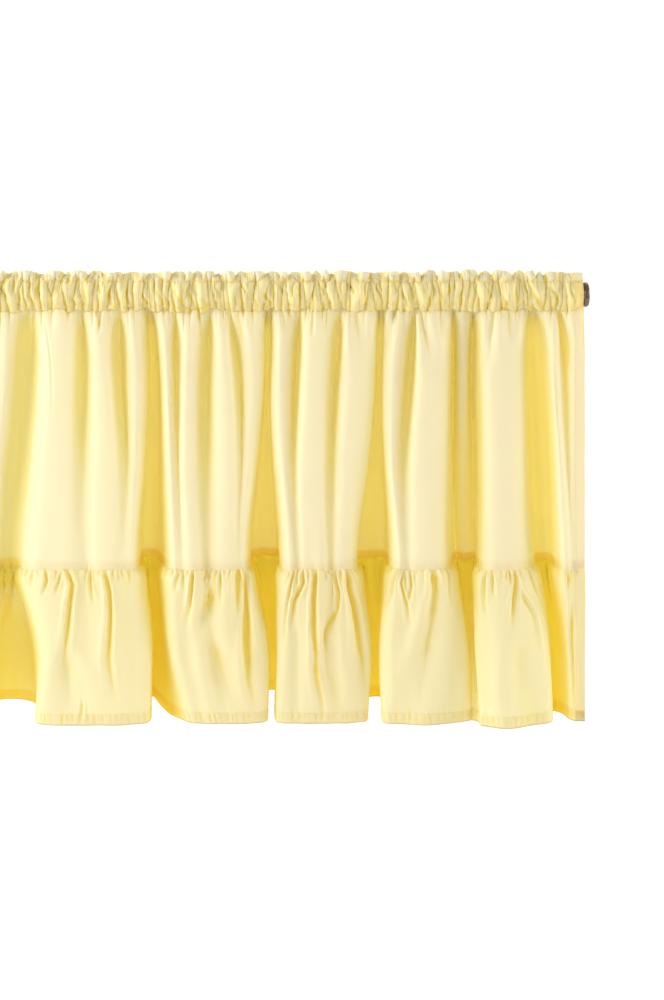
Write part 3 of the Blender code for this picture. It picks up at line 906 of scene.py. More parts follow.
def spindle_creases(x, part, seed):
    """Slanted creases, each widest half way: their push, and their line of painted crease shade."""
    random = np.random.default_rng(seed)
    push, line = np.zeros((len(part), len(x))), np.zeros((len(part), len(x)))
    places = divide(ends - np.sign(ends) * SPINDLE_END, *SPINDLE_GAP, seed + 1)
    for number, place in enumerate(places):
        lean = random.uniform(*SPINDLE_LEAN) * (1.0 if number % 2 == 0 else -1.0)
        if random.uniform() < 0.3:
            lean = -0.5 * lean
        length = random.uniform(*SPINDLE_LENGTH)
        first = 0.0 if random.uniform() < 0.55 else 1.0 - length
        width, depth = random.uniform(*SPINDLE_WIDTH), random.uniform(*SPINDLE_DEPTH)
        near = np.flatnonzero(np.abs(x - place) < SPINDLE_REACH)
        course = np.clip((part - first) / length, 0.0, 1.0)
        belly = np.sin(math.pi * course) ** 0.7
        bend = 1.2 * np.sin(2.0 * math.pi * course)
        away = x[near][None, :] - place - (lean * (part - 0.5) + bend)[:, None]
        away = away / (width * (0.45 + 0.8 * belly))[:, None]
        push[:, near] -= valley(away, 1.4, 0.4, 1.9, 1.0) * (depth * belly)[:, None]
        seen = 0.55 * belly + 0.45 * (1.0 - course) * belly
        fine = np.exp(-(away / 0.55) ** 2) * seen[:, None]
        line[:, near] = np.maximum(line[:, near], fine)
    return push, line


# %% The frill
FRILL_LEAN = 5.2
FRILL_LOOP = 0.5
FRILL_WAVE = 2.8


def frill_waves(x):
    """Phase of the frill's waves, how far they swing, and how high each lobe stands."""
    bump, number, part = puffs(frill_creases, x)
    phase = blur((math.pi * (number + part))[None, :], 3, 1)[0]
    curl = 0.9 + 0.5 * along_noise(23, x, 11.0)
    lobe = 0.8 + 0.7 * along_noise(25, number + part, 1.3)
    rise = 0.8 * along_noise(24, x, 8.0)
    rise += 0.7 * along_noise(28, x, 2.6)
    round_top = np.abs(np.sin(phase)) ** 0.7 * np.minimum(bump / 9.0, 1.0)
    rise += FRILL_WAVE * lobe * (1.9 * round_top - 0.9)
    still = flat_at_ends(x, POCKET_END)
    return phase, curl * still, rise * still


def frill_row(part, side, x, phase, curl):
    """Points of the frill, from the upper stitching (part 0) to its top (part 1)."""
    swing = FRILL_LEAN * np.sin(phase) * curl
    base = sewn_row(UPPER_STITCH_Z, side, x)
    lean = smooth_step(part * 0.9)
    y = base[:, 1] * (1.0 - lean) + swing * lean + side * (0.4 + 1.1 * math.sin(part * math.pi / 2))
    z = np.full_like(x, UPPER_STITCH_Z + (FRILL_TOP_Z - UPPER_STITCH_Z) * part)
    return np.stack([x - FRILL_LOOP * np.sin(2.0 * phase) * curl * lean, y, z], axis=1)


# %% All rows: up the front of the pocket, over the frill and down the back
POCKET_ANGLES = np.linspace(-60.0, 60.0, 15)
FRILL_PARTS = np.linspace(0.12, 1.0, 8)
FRILL_FOLD = np.array([0.0, 0.0, 0.9])
FRONT_ROWS, FRILL_ROWS, BACK_ROWS = slice(0, 17), slice(17, 34), slice(34, 51)
SEWN_ROWS = [0, 16, 34, 50]


def heading_rows(x, phase, curl):
    swell = 1.0 + 0.5 * soft_noise(22, x, POCKET_ANGLES, 7.0, 50.0)
    front, back = pocket_layer(-1, x, swell), pocket_layer(1, x, swell)
    rising = [frill_row(part, -1, x, phase, curl) for part in FRILL_PARTS]
    falling = [frill_row(part, 1, x, phase, curl) for part in FRILL_PARTS[::-1]]
    fold = (rising[-1] + falling[0]) / 2 + FRILL_FOLD
    return np.array(front + rising + [fold] + falling + back[::-1])


# %% Creases of the frill and the pocket
def crease_frill(grid, line, x, phase, rise, still):
    """Lifts the lobes of the frill, creases it where two lobes meet, and paints crease shade in the
    notches between lobes.
    """
    up = np.concatenate([FRILL_PARTS, [1.05], FRILL_PARTS[::-1]])
    grid[FRILL_ROWS, :, 2] += up[:, None] * rise[None, :]
    notch = (1.0 - np.abs(np.sin(phase))) ** 2 * still
    line[FRILL_ROWS] = smooth_step(up / 0.4)[:, None] * notch[None, :] * 0.9
    crinkle, fine = spindle_creases(x, np.minimum(up, 1.0) * 0.9 + 0.1, 45)
    sides = np.where(np.arange(len(up)) < len(up) / 2, -1.0, 1.0)[:, None]
    grid[FRILL_ROWS, :, 1] += 0.7 * sides * crinkle * still
    line[FRILL_ROWS] = np.maximum(line[FRILL_ROWS], 0.7 * fine * still)


def crease_pocket(grid, line, x):
    """Draws the slanted creases of both layers in towards the rod, with their painted crease shade."""
    for rows, seed in ((FRONT_ROWS, 41), (BACK_ROWS, 43)):
        heights = grid[rows, :, 2].mean(axis=1)
        part = (heights - LOWER_STITCH_Z) / (UPPER_STITCH_Z - LOWER_STITCH_Z)
        push, line[rows] = spindle_creases(x, part, seed)
        reach = np.maximum(np.hypot(grid[rows, :, 1], grid[rows, :, 2]), 1.0)
        grid[rows, :, 1:] *= (1.0 + push / reach)[:, :, None]


# %% The lip of the pocket, and the wandering of its stitching
LIP_OUT, LIP_DROP = 7.8, 4.8
LIP_FULL = 10.0
BACK_LOWEST = LOWER_STITCH_Z - 0.8
LOWER_REACH, UPPER_REACH = 9.0, 4.5


def shape_lip(grid, x, still):
    """Lets the puffs hang a little over the lower stitching in front."""
    grid[BACK_ROWS, :, 2] = np.maximum(grid[BACK_ROWS, :, 2], BACK_LOWEST)
    full = np.clip(puffs(lower_creases, x)[0] / LIP_FULL, 0.0, 1.0) * still
    grid[1, :, 1] = -LIP_OUT - 2.2 * full
    grid[1, :, 2] = LOWER_STITCH_Z + 1.2 - LIP_DROP * full
    grid[2, :, 1:] = (grid[1, :, 1:] + grid[3, :, 1:]) / 2
    grid[2, :, 1:] += np.stack([-0.8 * full, -0.5 * full], axis=1)


def drift_stitching(grid, x):
    """Moves both lines of stitching, and the cloth near them, up and down."""
    lower = stitch_drift(x, LOWER_DRIFT_SEED, STITCH_DRIFT)
    upper = stitch_drift(x, UPPER_DRIFT_SEED, 0.8 * STITCH_DRIFT)
    for drift, height, reach in ((lower, LOWER_STITCH_Z, LOWER_REACH),
                                 (upper, UPPER_STITCH_Z, UPPER_REACH)):
        near = np.exp(-((grid[:, :, 2].mean(axis=1) - height) / reach) ** 2)
        near[[0, -1]] = near.max()
        grid[:, :, 2] += near[:, None] * drift[None, :]


# %% The heading as one sheet
HEADING_STEP = 0.62
HEADING_ROUNDS = 200
POCKET_FULLNESS, SEWN_FULLNESS, FRILL_FULLNESS = 1.55, 1.4, 1.45
# How much painted fold shade the pocket gets, and how much less and more the frill and its backward
# lobes get.
POCKET_PAINTED_SHADE, FRILL_LESS_SHADE, FRILL_BEHIND_SHADE = 0.46, 0.24, 0.34


def heading_shading(grid, line, x):
    """The painted fold shade is half on the pocket, less on the frill and more on its backward
    lobes, and the dips get less painted shade than on the panel.
    """
    layers = np.ones(grid.shape[:2])
    layers[:, np.abs(x) > HEADING_END - SIDE_HEM_WIDTH] = HEMMED
    reach = np.where(np.abs(grid[:, :, 2]) < UPPER_STITCH_Z - 1.0,
                     np.hypot(grid[:, :, 1], grid[:, :, 2]), np.abs(grid[:, :, 1]))
    swung = np.clip((grid[:, :, 1] + FRILL_LEAN) / (2 * FRILL_LEAN), 0.0, 1.0)
    in_frill = smooth_step((grid[:, :, 2] - UPPER_STITCH_Z) / 3.0)
    depth = POCKET_PAINTED_SHADE - FRILL_LESS_SHADE * in_frill + FRILL_BEHIND_SHADE * swung * in_frill
    return {"layers": layers, "painted_fold_shade": depth,
            "crease": np.maximum(crease_share(reach), line), "painted_dip_shade": 0.6 * hollow_share(reach)}


def make_heading():
    step = HEADING_STEP * 1.0
    x = np.linspace(-HEADING_END, HEADING_END, int(2 * HEADING_END / step))
    phase, curl, rise = frill_waves(x)
    still = flat_at_ends(x, POCKET_END)
    grid = heading_rows(x, phase, curl)
    flat = np.broadcast_to(grid.mean(axis=1)[:, None, :], grid.shape).copy()
    flat[:, :, 0] = x
    held = np.zeros(len(grid), bool)
    held[SEWN_ROWS] = True
    fullness = np.full((len(grid), 1), POCKET_FULLNESS)
    fullness[held] = SEWN_FULLNESS
    fullness[FRILL_ROWS] = FRILL_FULLNESS
    fullness = 1.0 + (fullness - 1.0) * still[None, 1:]
    grid = settle(grid, flat, fullness, held, HEADING_ROUNDS, 0.04, 0.03, 0.006, outside_rod)
    line = np.zeros(grid.shape[:2])
    crease_frill(grid, line, x, phase, rise, still)
    crease_pocket(grid, line, x)
    shape_lip(grid, x, still)
    drift_stitching(grid, x)
    print("heading fullness:", round(edge_lengths(grid, "across").sum(axis=1).mean()), "mm")
    steps = np.linalg.norm(np.diff(grid, axis=0), axis=2).mean(axis=1)
    path = np.concatenate([[0.0], np.cumsum(steps)])
    uv = np.stack(np.broadcast_arrays(2.0 * (x + HEADING_END)[None, :], path[:, None]), axis=2)
    return sheet_mesh("heading_cloth", grid, uv, heading_shading(grid, line, x)), grid


heading, heading_grid = make_heading()
print("heading faces:", len(heading.data.polygons))

# %% [markdown]
# ## The ruffle
# The ruffle is cut longer than the panel is wide and gathered onto its lower edge. Its allowance
# is turned up behind the panel, the small gathers puff out under the seam, and a few of them run
# far down as creases. Its hem is the same sheet turned up behind, held by a line of stitches that
# puckers it a little.

# %% Creases of the ruffle: path of (sighted x, drop below the seam), width, depth
RUFFLE_CREASES = (
    (((-201, 0), (-200, 30), (-199, 50)), 3.0, 3.5),
    (((-186, 0), (-191, 14), (-196, 36), (-199, 70)), 4.2, 5.0),
    (((-170, 0), (-173, 16)), 2.4, 2.6),
    (((-159, 0), (-157, 10), (-162, 26)), 2.2, 2.8),
    (((-141, 0), (-149, 24)), 2.2, 2.8),
    (((-137, 0), (-132, 14), (-134, 30), (-138, 64), (-142, 94)), 4.6, 7.0),
    (((-139, 70), (-136, 105), (-133, 146)), 13.0, 6.0),
    (((-113, 0), (-113, 18), (-110, 34)), 2.6, 4.0),
    (((-99, 0), (-95, 20), (-94, 42), (-96, 84), (-90, 124)), 4.8, 6.5),
    (((-86, 0), (-86, 12)), 2.0, 2.2),
    (((-121, 122), (-124, 146)), 2.4, 1.8),
    (((-24, 0), (-30, 22)), 3.0, 2.6),
    (((-11, 0), (-13, 20), (-15, 36), (-18, 54)), 2.8, 5.0),
    (((2, 0), (0, 9), (3, 18)), 1.9, 2.6),
    (((8, 0), (3, 16)), 1.9, 2.4),
    (((9, 12), (5, 32), (-1, 50), (-5, 72)), 7.0, 5.0),
    (((17, 0), (17, 12), (16, 34)), 2.2, 3.4),
    (((33, 0), (35, 34), (37, 72)), 6.0, 5.0),
    (((40, 0), (43, 30), (43, 70), (44, 104), (51, 136)), 5.0, 8.5),
    (((8, 62), (18, 100), (34, 144)), 13.0, 5.0),
    (((87, 0), (82, 14)), 2.2, 2.4),
    (((90, 0), (84, 30), (81, 50), (80, 72)), 2.6, 3.2),
    (((99, 0), (99, 12), (90, 30), (87, 58)), 3.8, 4.4),
    (((112, 0), (110, 28), (110, 62), (113, 96), (121, 142)), 4.4, 6.0),
    (((121, 0), (121, 10)), 2.0, 2.2),
    (((131, 0), (135, 22), (133, 38), (124, 58), (118, 84)), 3.2, 4.4),
    (((129, 32), (123, 62), (124, 92), (132, 138)), 8.0, 6.0),
    (((112, 76), (116, 104), (127, 146)), 4.0, -3.2),
    (((143, 0), (145, 16), (150, 36), (156, 72), (161, 116)), 4.8, 8.0),
    (((195, 0), (189, 12), (187, 26), (181, 38)), 2.4, 3.8),
    (((200, 0), (197, 12), (203, 32), (207, 52)), 2.4, 3.4),
    (((207, 0), (207, 16), (204, 34)), 2.4, 3.2),
    (((229, 0), (232, 20), (228, 52), (223, 88)), 6.5, 7.0),
    (((242, 0), (245, 16), (247, 34)), 2.6, 4.2),
    (((226, 50), (220, 100), (214, 146)), 11.0, 5.0),
    (((283, 0), (280, 14), (280, 30), (282, 44)), 2.6, 3.8),
    (((289, 0), (290, 26)), 2.3, 3.2),
    (((302, 0), (302, 10)), 2.0, 2.2),
    (((310, 0), (312, 12), (310, 30), (308, 56)), 4.2, 6.0),
    (((322, 0), (327, 10), (336, 32)), 2.4, 3.8),
    (((314, 10), (323, 28), (332, 42), (340, 86)), 3.4, -3.2),
    (((314, 60), (316, 100), (318, 146)), 12.0, 4.0),
    (((364, 0), (365, 22)), 2.3, 3.2),
    (((368, 24), (369, 80), (371, 146)), 5.0, 4.0),
    (((-352, 0), (-350, 30), (-346, 62)), 4.0, 5.0),
    (((-336, 0), (-338, 22)), 2.4, 3.4),
    (((-291, 0), (-288, 20), (-284, 66)), 4.4, 5.5),
    (((-277, 0), (-279, 34)), 2.6, 4.0),
    (((-266, 0), (-262, 30), (-258, 90)), 4.2, 6.0),
    (((-312, 40), (-318, 110)), 8.0, 3.0),
)

# %% Rows of the ruffle, and its allowance behind the panel
def ruffle_heights():
    step = 1.0
    fine = np.arange(0.0, 27.0, 1.3 * step)
    coarse = np.arange(29.0, SEAM_Z - HEM_Z - HEM_WIDTH - 2.0, 4.2 * step)
    hem = SEAM_Z - HEM_Z - HEM_WIDTH * np.linspace(1.0, 0.0, 6)
    return SEAM_Z - np.concatenate([fine, coarse, hem])


def behind_panel(seam_line, rise):
    """Points on the back of the panel, over the given points of the seam, a few mm above it."""
    back = (panel_grid - grid_normals(panel_grid) * LAYER_GAP)[-5:]
    places, wanted = places_along(panel_base[-1]), places_along(seam_line)
    places, wanted = places / places[-1], wanted / wanted[-1]
    heights = back[:, :, 2].mean(axis=1)
    rows = np.stack([np.stack([np.interp(wanted, places, row[:, axis]) for axis in range(3)], axis=1)
                     for row in back])
    result = []
    for height in SEAM_Z + rise:
        above = int(np.clip(np.searchsorted(-heights, -height) - 1, 0, len(heights) - 2))
        part = (height - heights[above]) / (heights[above + 1] - heights[above])
        result.append(rows[above] * (1 - part) + rows[above + 1] * part)
    return np.array(result)


# %% Gathers and hem of the strip
GATHER_RATE = 0.5
GATHER_RISE = 4.0
GATHER_SHORT, GATHER_LONG = 5.0, 14.0
SEAM_BULGE, BULGE_DROP, BULGE_END = 3.4, 11.0, 30.0
BEHIND = 1.3
HEM_PUCKER = 1.1
HEM_STITCHED = 0.25
# A pucker of the hem is a row of place, slant, length, width and depth. Below the stitches it
# stands straighter, and above them it is shorter and shallower.
HEM_STRAIGHT = np.array([1.0, 0.4, 1.0, 1.0, 1.0])
HEM_ABOVE = np.array([1.0, 1.0, 0.4, 1.0, 0.7])


def ruffle_gathers(grid, drop, along):
    """How far the gathers push the strip out under the seam, and behind the panel above it."""
    seam_along = places_along(grid[0])
    gathers = divide(np.array([0.0, seam_along[-1]]), 5.0, 11.5, 31)
    height, number, _ = puffs(gathers, seam_along)
    random = np.random.default_rng(32)
    fade = random.uniform(GATHER_SHORT, GATHER_LONG, len(gathers))
    grow = smooth_step(drop / GATHER_RISE)
    in_front = 0.3 + 0.7 * smooth_step((12.0 - grid[0, :, 1]) / 30.0)
    push = GATHER_RATE * (height * in_front)[None, :] * (0.3 + 0.7 * grow)
    push = push * np.exp(-(drop / blur(fade[number][None, :], 4, 1)) ** 1.2)
    from_side = np.minimum(along, along[-1] - along)[None, :]
    bulge = SEAM_BULGE * smooth_step(from_side / BULGE_END)
    push += bulge * (drop / BULGE_DROP) * np.exp(1.0 - drop / BULGE_DROP)
    return push - BEHIND * (1.0 - smooth_step(drop / 3.0))


def hem_puckers(above_hem, along):
    """The hem's stitches pull the cloth in, and pucker it below and above them. The puckers carry
    painted crease shade.
    """
    ticks = tick_creases(along, 4.0, 10.0, 35, 9.0, 15.0, HEM_PUCKER) * HEM_STRAIGHT
    below_push, below_line = crease_along(HEM_WIDTH - above_hem, along, ticks)
    over_push, over_line = crease_along(above_hem - HEM_WIDTH, along, ticks * HEM_ABOVE)
    in_hem = (above_hem < HEM_WIDTH + 0.5)[:, None]
    stitched = np.exp(-((above_hem - HEM_WIDTH) / 1.2) ** 2)
    push = np.where(in_hem, below_push, over_push) - HEM_STITCHED * stitched[:, None]
    return push, 1.7 * np.where(in_hem, below_line, over_line)


# %% The gathered strip
RUFFLE_ROUNDS = 260
RUFFLE_FULLNESS = 1.25  # cloth cut for each mm of the mesh
# seed, height, size across, size down
RUFFLE_CRUMPLES = ((6, 1.0, 30.0, 60.0), (7, 0.6, 14.0, 34.0), (8, 0.35, 8.0, 18.0),
                   (9, 0.35, 18.0, 9.0))


def settled_ruffle(heights, along):
    """The strip from its seam to its hem, once it has settled and creased."""
    base = blur(fold_surface(heights, ruffle_columns), 3, 1)
    drop = (SEAM_Z - heights)[:, None]
    push = ruffle_gathers(base, drop, along)
    push += crumples(along, heights, RUFFLE_CRUMPLES) * smooth_step(drop / 30.0)
    grid = base + grid_normals(base) * push[:, :, None]
    fullness = 1.015 + 0.2 * np.exp(-(drop[:, 0] / 10.0) ** 1.2)[:, None]
    held = np.zeros(len(heights), bool)
    held[0] = True
    grid = settle(grid, base, fullness, held, RUFFLE_ROUNDS, 0.02, 0.05, 0.006)
    push, line = crease_push(grid, along, SEAM_Z, RUFFLE_CREASES)
    seam_ticks = tick_creases(along, 4.0, 9.5, 33, 4.0, 22.0, 2.4)
    seam_push, seam_line = crease_along(drop[:, 0], along, seam_ticks)
    hem_push, hem_line = hem_puckers(heights - HEM_Z, along)
    line = np.clip(np.maximum(line, np.maximum(seam_line, hem_line)), 0.0, 1.0)
    push += seam_push + hem_push
    grid = with_seam_drift(grid + grid_normals(grid) * push[:, :, None], heights)
    return grid, line, base[0]


def make_ruffle():
    along = ruffle_columns[2]
    heights = ruffle_heights()
    strip, line, seam = settled_ruffle(heights, along)
    rise = np.linspace(ALLOWANCE, 1.0, 4)
    allowance = behind_panel(seam, rise)
    inside = int(np.argmin(np.abs(heights - HEM_Z - HEM_WIDTH)))
    turned = (strip - grid_normals(strip) * LAYER_GAP)[inside:-1][::-1]
    grid = np.concatenate([allowance, strip, turned])
    line = np.concatenate([np.zeros_like(line[:len(rise)]), line, np.zeros_like(line[inside:-1])])
    down = np.concatenate([SEAM_Z + rise, heights, heights[inside:-1][::-1]])
    uv = np.stack(np.broadcast_arrays(along[None, :] * RUFFLE_FULLNESS, down[:, None]), axis=2)
    layers = np.ones(grid.shape[:2])
    layers[:len(rise)] = HIDDEN
    layers[len(rise) + inside:] = HEMMED
    layers[-len(turned):] = HIDDEN
    piece = hemmed_sheet("ruffle_cloth", grid, uv, along, layers, line)
    return piece, grid, len(rise), inside


ruffle, ruffle_grid, ruffle_first, ruffle_hem = make_ruffle()
print("ruffle faces:", len(ruffle.data.polygons))

# %% [markdown]
# ## Caps of the rod
# Each end of the rod is closed by a small turned disc. A Screw modifier would turn its profile,
# but the same ring of points is quick to spin in mesh code, and it ends at the origin unturned.

# %% Turned caps: distance from the end of the cloth and radius along the profile
CAP_PROFILE = ((0.0, 11.9), (0.4, 12.25), (1.3, 12.5), (2.6, 12.5), (3.8, 12.25), (4.6, 11.8),
               (5.0, 11.1), (5.0, 9.2), (4.75, 8.6), (4.75, 0.0))
CAP_SIDES = 96
CAP_SHARP_DEGREES = 35.0


def turned_cap(name, direction):
    """A disc turned about X, from its flat inner face outwards."""
    shape = bmesh.new()
    profile = [shape.verts.new(((HALF_WIDTH + x) * MM, radius * MM, 0.0))
               for x, radius in CAP_PROFILE]
    start = shape.verts.new((HALF_WIDTH * MM, 0.0, 0.0))
    points = [start] + profile
    edges = [shape.edges.new(pair) for pair in zip(points[:-1], points[1:])]
    bmesh.ops.spin(shape, geom=points + edges, axis=(1.0, 0.0, 0.0), cent=(0.0, 0.0, 0.0),
                   steps=CAP_SIDES, angle=2.0 * math.pi, use_duplicate=False)
    bmesh.ops.remove_doubles(shape, verts=shape.verts, dist=1e-6)
    for vertex in shape.verts:
        vertex.co.x *= direction
    bmesh.ops.recalc_face_normals(shape, faces=shape.faces)
    mesh = bpy.data.meshes.new(name)
    shape.to_mesh(mesh)
    shape.free()
    mesh.shade_smooth()
    mesh.set_sharp_from_angle(angle=math.radians(CAP_SHARP_DEGREES))
    return add_object(name, mesh)


caps = {"rod_cap_right": turned_cap("turned_cap_right", 1.0),
        "rod_cap_left": turned_cap("turned_cap_left", -1.0)}
for cap in caps.values():
    print(cap.name, "faces:", len(cap.data.polygons))

# %% [markdown]
# ## Materials
# A material starts from what the real thing is. Plain-weave cotton scatters light from its front
# and lets some through from its back, so its shader mixes a Principled surface with a Translucent
# one. Where light passes through several layers, or bounces about deep in a fold, the yellow is
# painted stronger into the colour, as painted shade.

# %% Helpers for node trees
def linear(hex_colour):
    """An sRGB hex colour as a linear RGBA tuple."""
    parts = [int(hex_colour[index:index + 2], 16) / 255 for index in (1, 3, 5)]
    return tuple(part / 12.92 if part <= 0.04045 else ((part + 0.055) / 1.055) ** 2.4
                 for part in parts) + (1.0,)


def add_node(tree, kind, settings=None, **inputs):
    """Adds a node. Settings are its attributes; inputs are values or sockets to link from."""
    node = tree.nodes.new(kind)
    for key, value in (settings or {}).items():
        setattr(node, key, value)
    for key, value in inputs.items():
        socket = node.inputs[int(key[1:])] if key[0] == "_" else node.inputs[key.replace("__", " ")]
        if isinstance(value, bpy.types.NodeSocket):
            tree.links.new(value, socket)
        else:
            socket.default_value = value
    return node


# Settings of a Mix node for colours. Its factor and its two colours are inputs 0, 6 and 7.
RGBA = {"data_type": "RGBA"}


def new_material(name):
    material = bpy.data.materials.new(name)
    material.use_nodes = True
    material.node_tree.nodes.clear()
    return material, material.node_tree


# %% [markdown]
# ## Cotton
# Plain weave is threads over and under each other, so two crossing Wave textures make its bump,
# with a little noise for slubs, the thick places in a thread. The colour starts from the lit
# cloth and goes to a stronger yellow of painted shade in dips, creases, deep folds and doubled
# layers.

# %% Tones of the cloth: lit, and painted shade in a dip and at the bottom of a fold
CLOTH_LIT = "#FDF5D9"
# Each piece has a lit tone and two painted shade tones. The lit tone differs a little from piece to
# piece as painted light and shade on one cotton.
PANEL_LIT_AND_SHADE_TONES = (CLOTH_LIT, "#EFE38E", "#FBE876")
HEADING_LIT_AND_SHADE_TONES = ("#FFF5D2", "#FFE98A", "#FFE24A")
RUFFLE_LIT_AND_SHADE_TONES = ("#F8F0CA", "#EFE38E", "#F8DF4C")
CLOTH_THROUGH = linear("#FFEFA0")
# Painted shade in sharp creases, and in doubled layers deep in a fold.
PAINTED_CREASE_SHADE = linear("#F8DB4A")
PAINTED_LAYER_SHADE = linear("#F9CE02")
SHARE_BEHIND = 0.8
# Real threads lie about 0.35 mm apart, too fine to show, so they are drawn coarser. A Wave
# texture has a band every 1 / 20 of a unit at scale 1.
THREAD_MM = 0.9
WAVE_BANDS = 20.0
# Slubs are about 4.5 mm long, and patches of wear about 110 mm wide.
SLUB_SCALE, WEAR_SCALE = 220.0, 9.0


# %% Weave and colour of the cotton
def weave_normal(tree, cloth):
    """The bump of warp, weft and slubs."""
    scale = 1.0 / (THREAD_MM * MM * WAVE_BANDS)
    warp, weft = [add_node(tree, "ShaderNodeTexWave", {"bands_direction": way}, Vector=cloth,
                           Scale=scale, Distortion=0.4, Detail=1.0) for way in "XY"]
    weave = add_node(tree, "ShaderNodeMath", {"operation": "ADD"}, _0=warp.outputs["Fac"],
                     _1=weft.outputs["Fac"])
    slub = add_node(tree, "ShaderNodeTexNoise", Vector=cloth, Scale=SLUB_SCALE, Detail=3.0)
    height = add_node(tree, "ShaderNodeMath", {"operation": "ADD"}, _0=weave.outputs[0],
                      _1=slub.outputs["Fac"])
    return add_node(tree, "ShaderNodeBump", Height=height.outputs[0], Strength=0.12,
                    Distance=0.0001).outputs["Normal"]


def cotton_colour(tree, cloth, layers, deep, creases, dips, tones):
    """The colour of the cloth: painted shade in dips, creases, deep folds and doubled layers, and
    faint wear.
    """
    lit, painted_dip_shade, painted_fold_tone = tones
    # Painted shade: the dip tone in dips, the crease tone in creases, the fold tone deep in folds.
    dipped = add_node(tree, "ShaderNodeMix", RGBA, _0=dips, _6=lit, _7=painted_dip_shade)
    creased = add_node(tree, "ShaderNodeMix", RGBA, _0=creases, _6=dipped.outputs[2],
                       _7=PAINTED_CREASE_SHADE)
    colour = add_node(tree, "ShaderNodeMix", RGBA, _0=deep,
                      _6=creased.outputs[2], _7=painted_fold_tone)
    # Doubled layers deep in a fold get a stronger painted shade.
    more = add_node(tree, "ShaderNodeMapRange", Value=layers,
                    **{"From__Min": 1.2, "From__Max": 2.6, "To__Min": 0.0, "To__Max": 1.0})
    strong = add_node(tree, "ShaderNodeMapRange", Value=deep,
                      **{"From__Min": 0.0, "From__Max": 0.75, "To__Min": 0.03, "To__Max": 1.0})
    tint = add_node(tree, "ShaderNodeMath", {"operation": "MULTIPLY"}, _0=more.outputs["Result"],
                    _1=strong.outputs["Result"])
    tinted = add_node(tree, "ShaderNodeMix", RGBA, _0=tint.outputs[0],
                      _6=colour.outputs[2], _7=PAINTED_LAYER_SHADE)
    wear = add_node(tree, "ShaderNodeTexNoise", Vector=cloth, Scale=WEAR_SCALE, Detail=2.0)
    mottle = add_node(tree, "ShaderNodeMapRange", Value=wear.outputs["Fac"],
                      **{"From__Min": 0.3, "From__Max": 0.7, "To__Min": 0.985, "To__Max": 1.0})
    return add_node(tree, "ShaderNodeMix", {**RGBA, "blend_type": "MULTIPLY"}, _0=1.0,
                    _6=tinted.outputs[2], _7=mottle.outputs["Result"]).outputs[2]


# %% Woven cotton
def cotton(name, through_share, deepest, tones):
    """Plain-weave cotton, dyed pale lemon, brushed matt, that lets some light through. Painted shade
    from the sheet's attributes deepens its colour in folds, creases and dips.
    """
    material, tree = new_material(name)
    tones = [linear(tone) for tone in tones]
    cloth = add_node(tree, "ShaderNodeUVMap", {"uv_map": "cloth"}).outputs["UV"]
    # The layers, and the painted shade of deep folds, creases and dips, as the sheet carries them.
    layers, depth, creases, dips = [
        add_node(tree, "ShaderNodeAttribute", {"attribute_name": measured}).outputs["Fac"]
        for measured in ("layers", "painted_fold_shade", "crease", "painted_dip_shade")]
    # deep is the strength of the painted fold shade, up to deepest.
    deep = add_node(tree, "ShaderNodeMapRange", {"interpolation_type": "SMOOTHSTEP"}, Value=depth,
                    **{"From__Min": 0.08, "From__Max": 0.95, "To__Min": 0.0,
                       "To__Max": deepest}).outputs["Result"]
    colour = cotton_colour(tree, cloth, layers, deep, creases, dips, tones)
    surface = add_node(tree, "ShaderNodeBsdfPrincipled", Normal=weave_normal(tree, cloth),
                       Roughness=0.9, **{"Base__Color": colour, "Specular__IOR__Level": 0.2,
                                         "Sheen__Weight": 0.08})
    # Light let through is painted a stronger yellow deep in a fold.
    glow = add_node(tree, "ShaderNodeMix", RGBA, _0=deep, _6=CLOTH_THROUGH, _7=tones[2])
    through = add_node(tree, "ShaderNodeMix", RGBA, _0=layers, _6=tones[0], _7=glow.outputs[2])
    lets_light = add_node(tree, "ShaderNodeBsdfTranslucent", Color=through.outputs[2])
    share = add_node(tree, "ShaderNodeMapRange", Value=layers,
                     **{"From__Min": 0.0, "From__Max": 1.0, "To__Min": SHARE_BEHIND,
                        "To__Max": through_share})
    mixed = add_node(tree, "ShaderNodeMixShader", _0=share.outputs["Result"],
                     _1=surface.outputs["BSDF"], _2=lets_light.outputs["BSDF"])
    add_node(tree, "ShaderNodeOutputMaterial", Surface=mixed.outputs[0])
    return material


# %% [markdown]
# ## Bronzed steel
# The caps are turned from steel and lacquered a dark bronze. A lacquer over metal still reflects
# as metal does, so the surface is mostly metallic, and its roughness varies in soft clouds.

# %% Bronzed metal
# The grain is about 1 mm, and the clouds are about 8 mm wide.
GRAIN_SCALE, CLOUD_SCALE = 900.0, 120.0


def bronzed_metal(name, roughness):
    """Steel with a dark bronze lacquer, satin, with a fine grain."""
    material, tree = new_material(name)
    place = add_node(tree, "ShaderNodeTexCoord").outputs["Object"]
    grain = add_node(tree, "ShaderNodeTexNoise", Vector=place, Scale=GRAIN_SCALE, Detail=2.0)
    cloud = add_node(tree, "ShaderNodeTexNoise", Vector=place, Scale=CLOUD_SCALE, Detail=3.0)
    colour = add_node(tree, "ShaderNodeMix", RGBA, _0=cloud.outputs["Fac"],
                      _6=linear("#66564A"), _7=linear("#877565"))
    rough = add_node(tree, "ShaderNodeMapRange", Value=cloud.outputs["Fac"],
                     **{"To__Min": roughness - 0.06, "To__Max": roughness + 0.08})
    bump = add_node(tree, "ShaderNodeBump", Height=grain.outputs["Fac"], Strength=0.03,
                    Distance=0.0001)
    surface = add_node(tree, "ShaderNodeBsdfPrincipled", Normal=bump.outputs["Normal"],
                       Roughness=rough.outputs["Result"], Metallic=0.85,
                       **{"Base__Color": colour.outputs[2]})
    add_node(tree, "ShaderNodeOutputMaterial", Surface=surface.outputs["BSDF"])
    return material


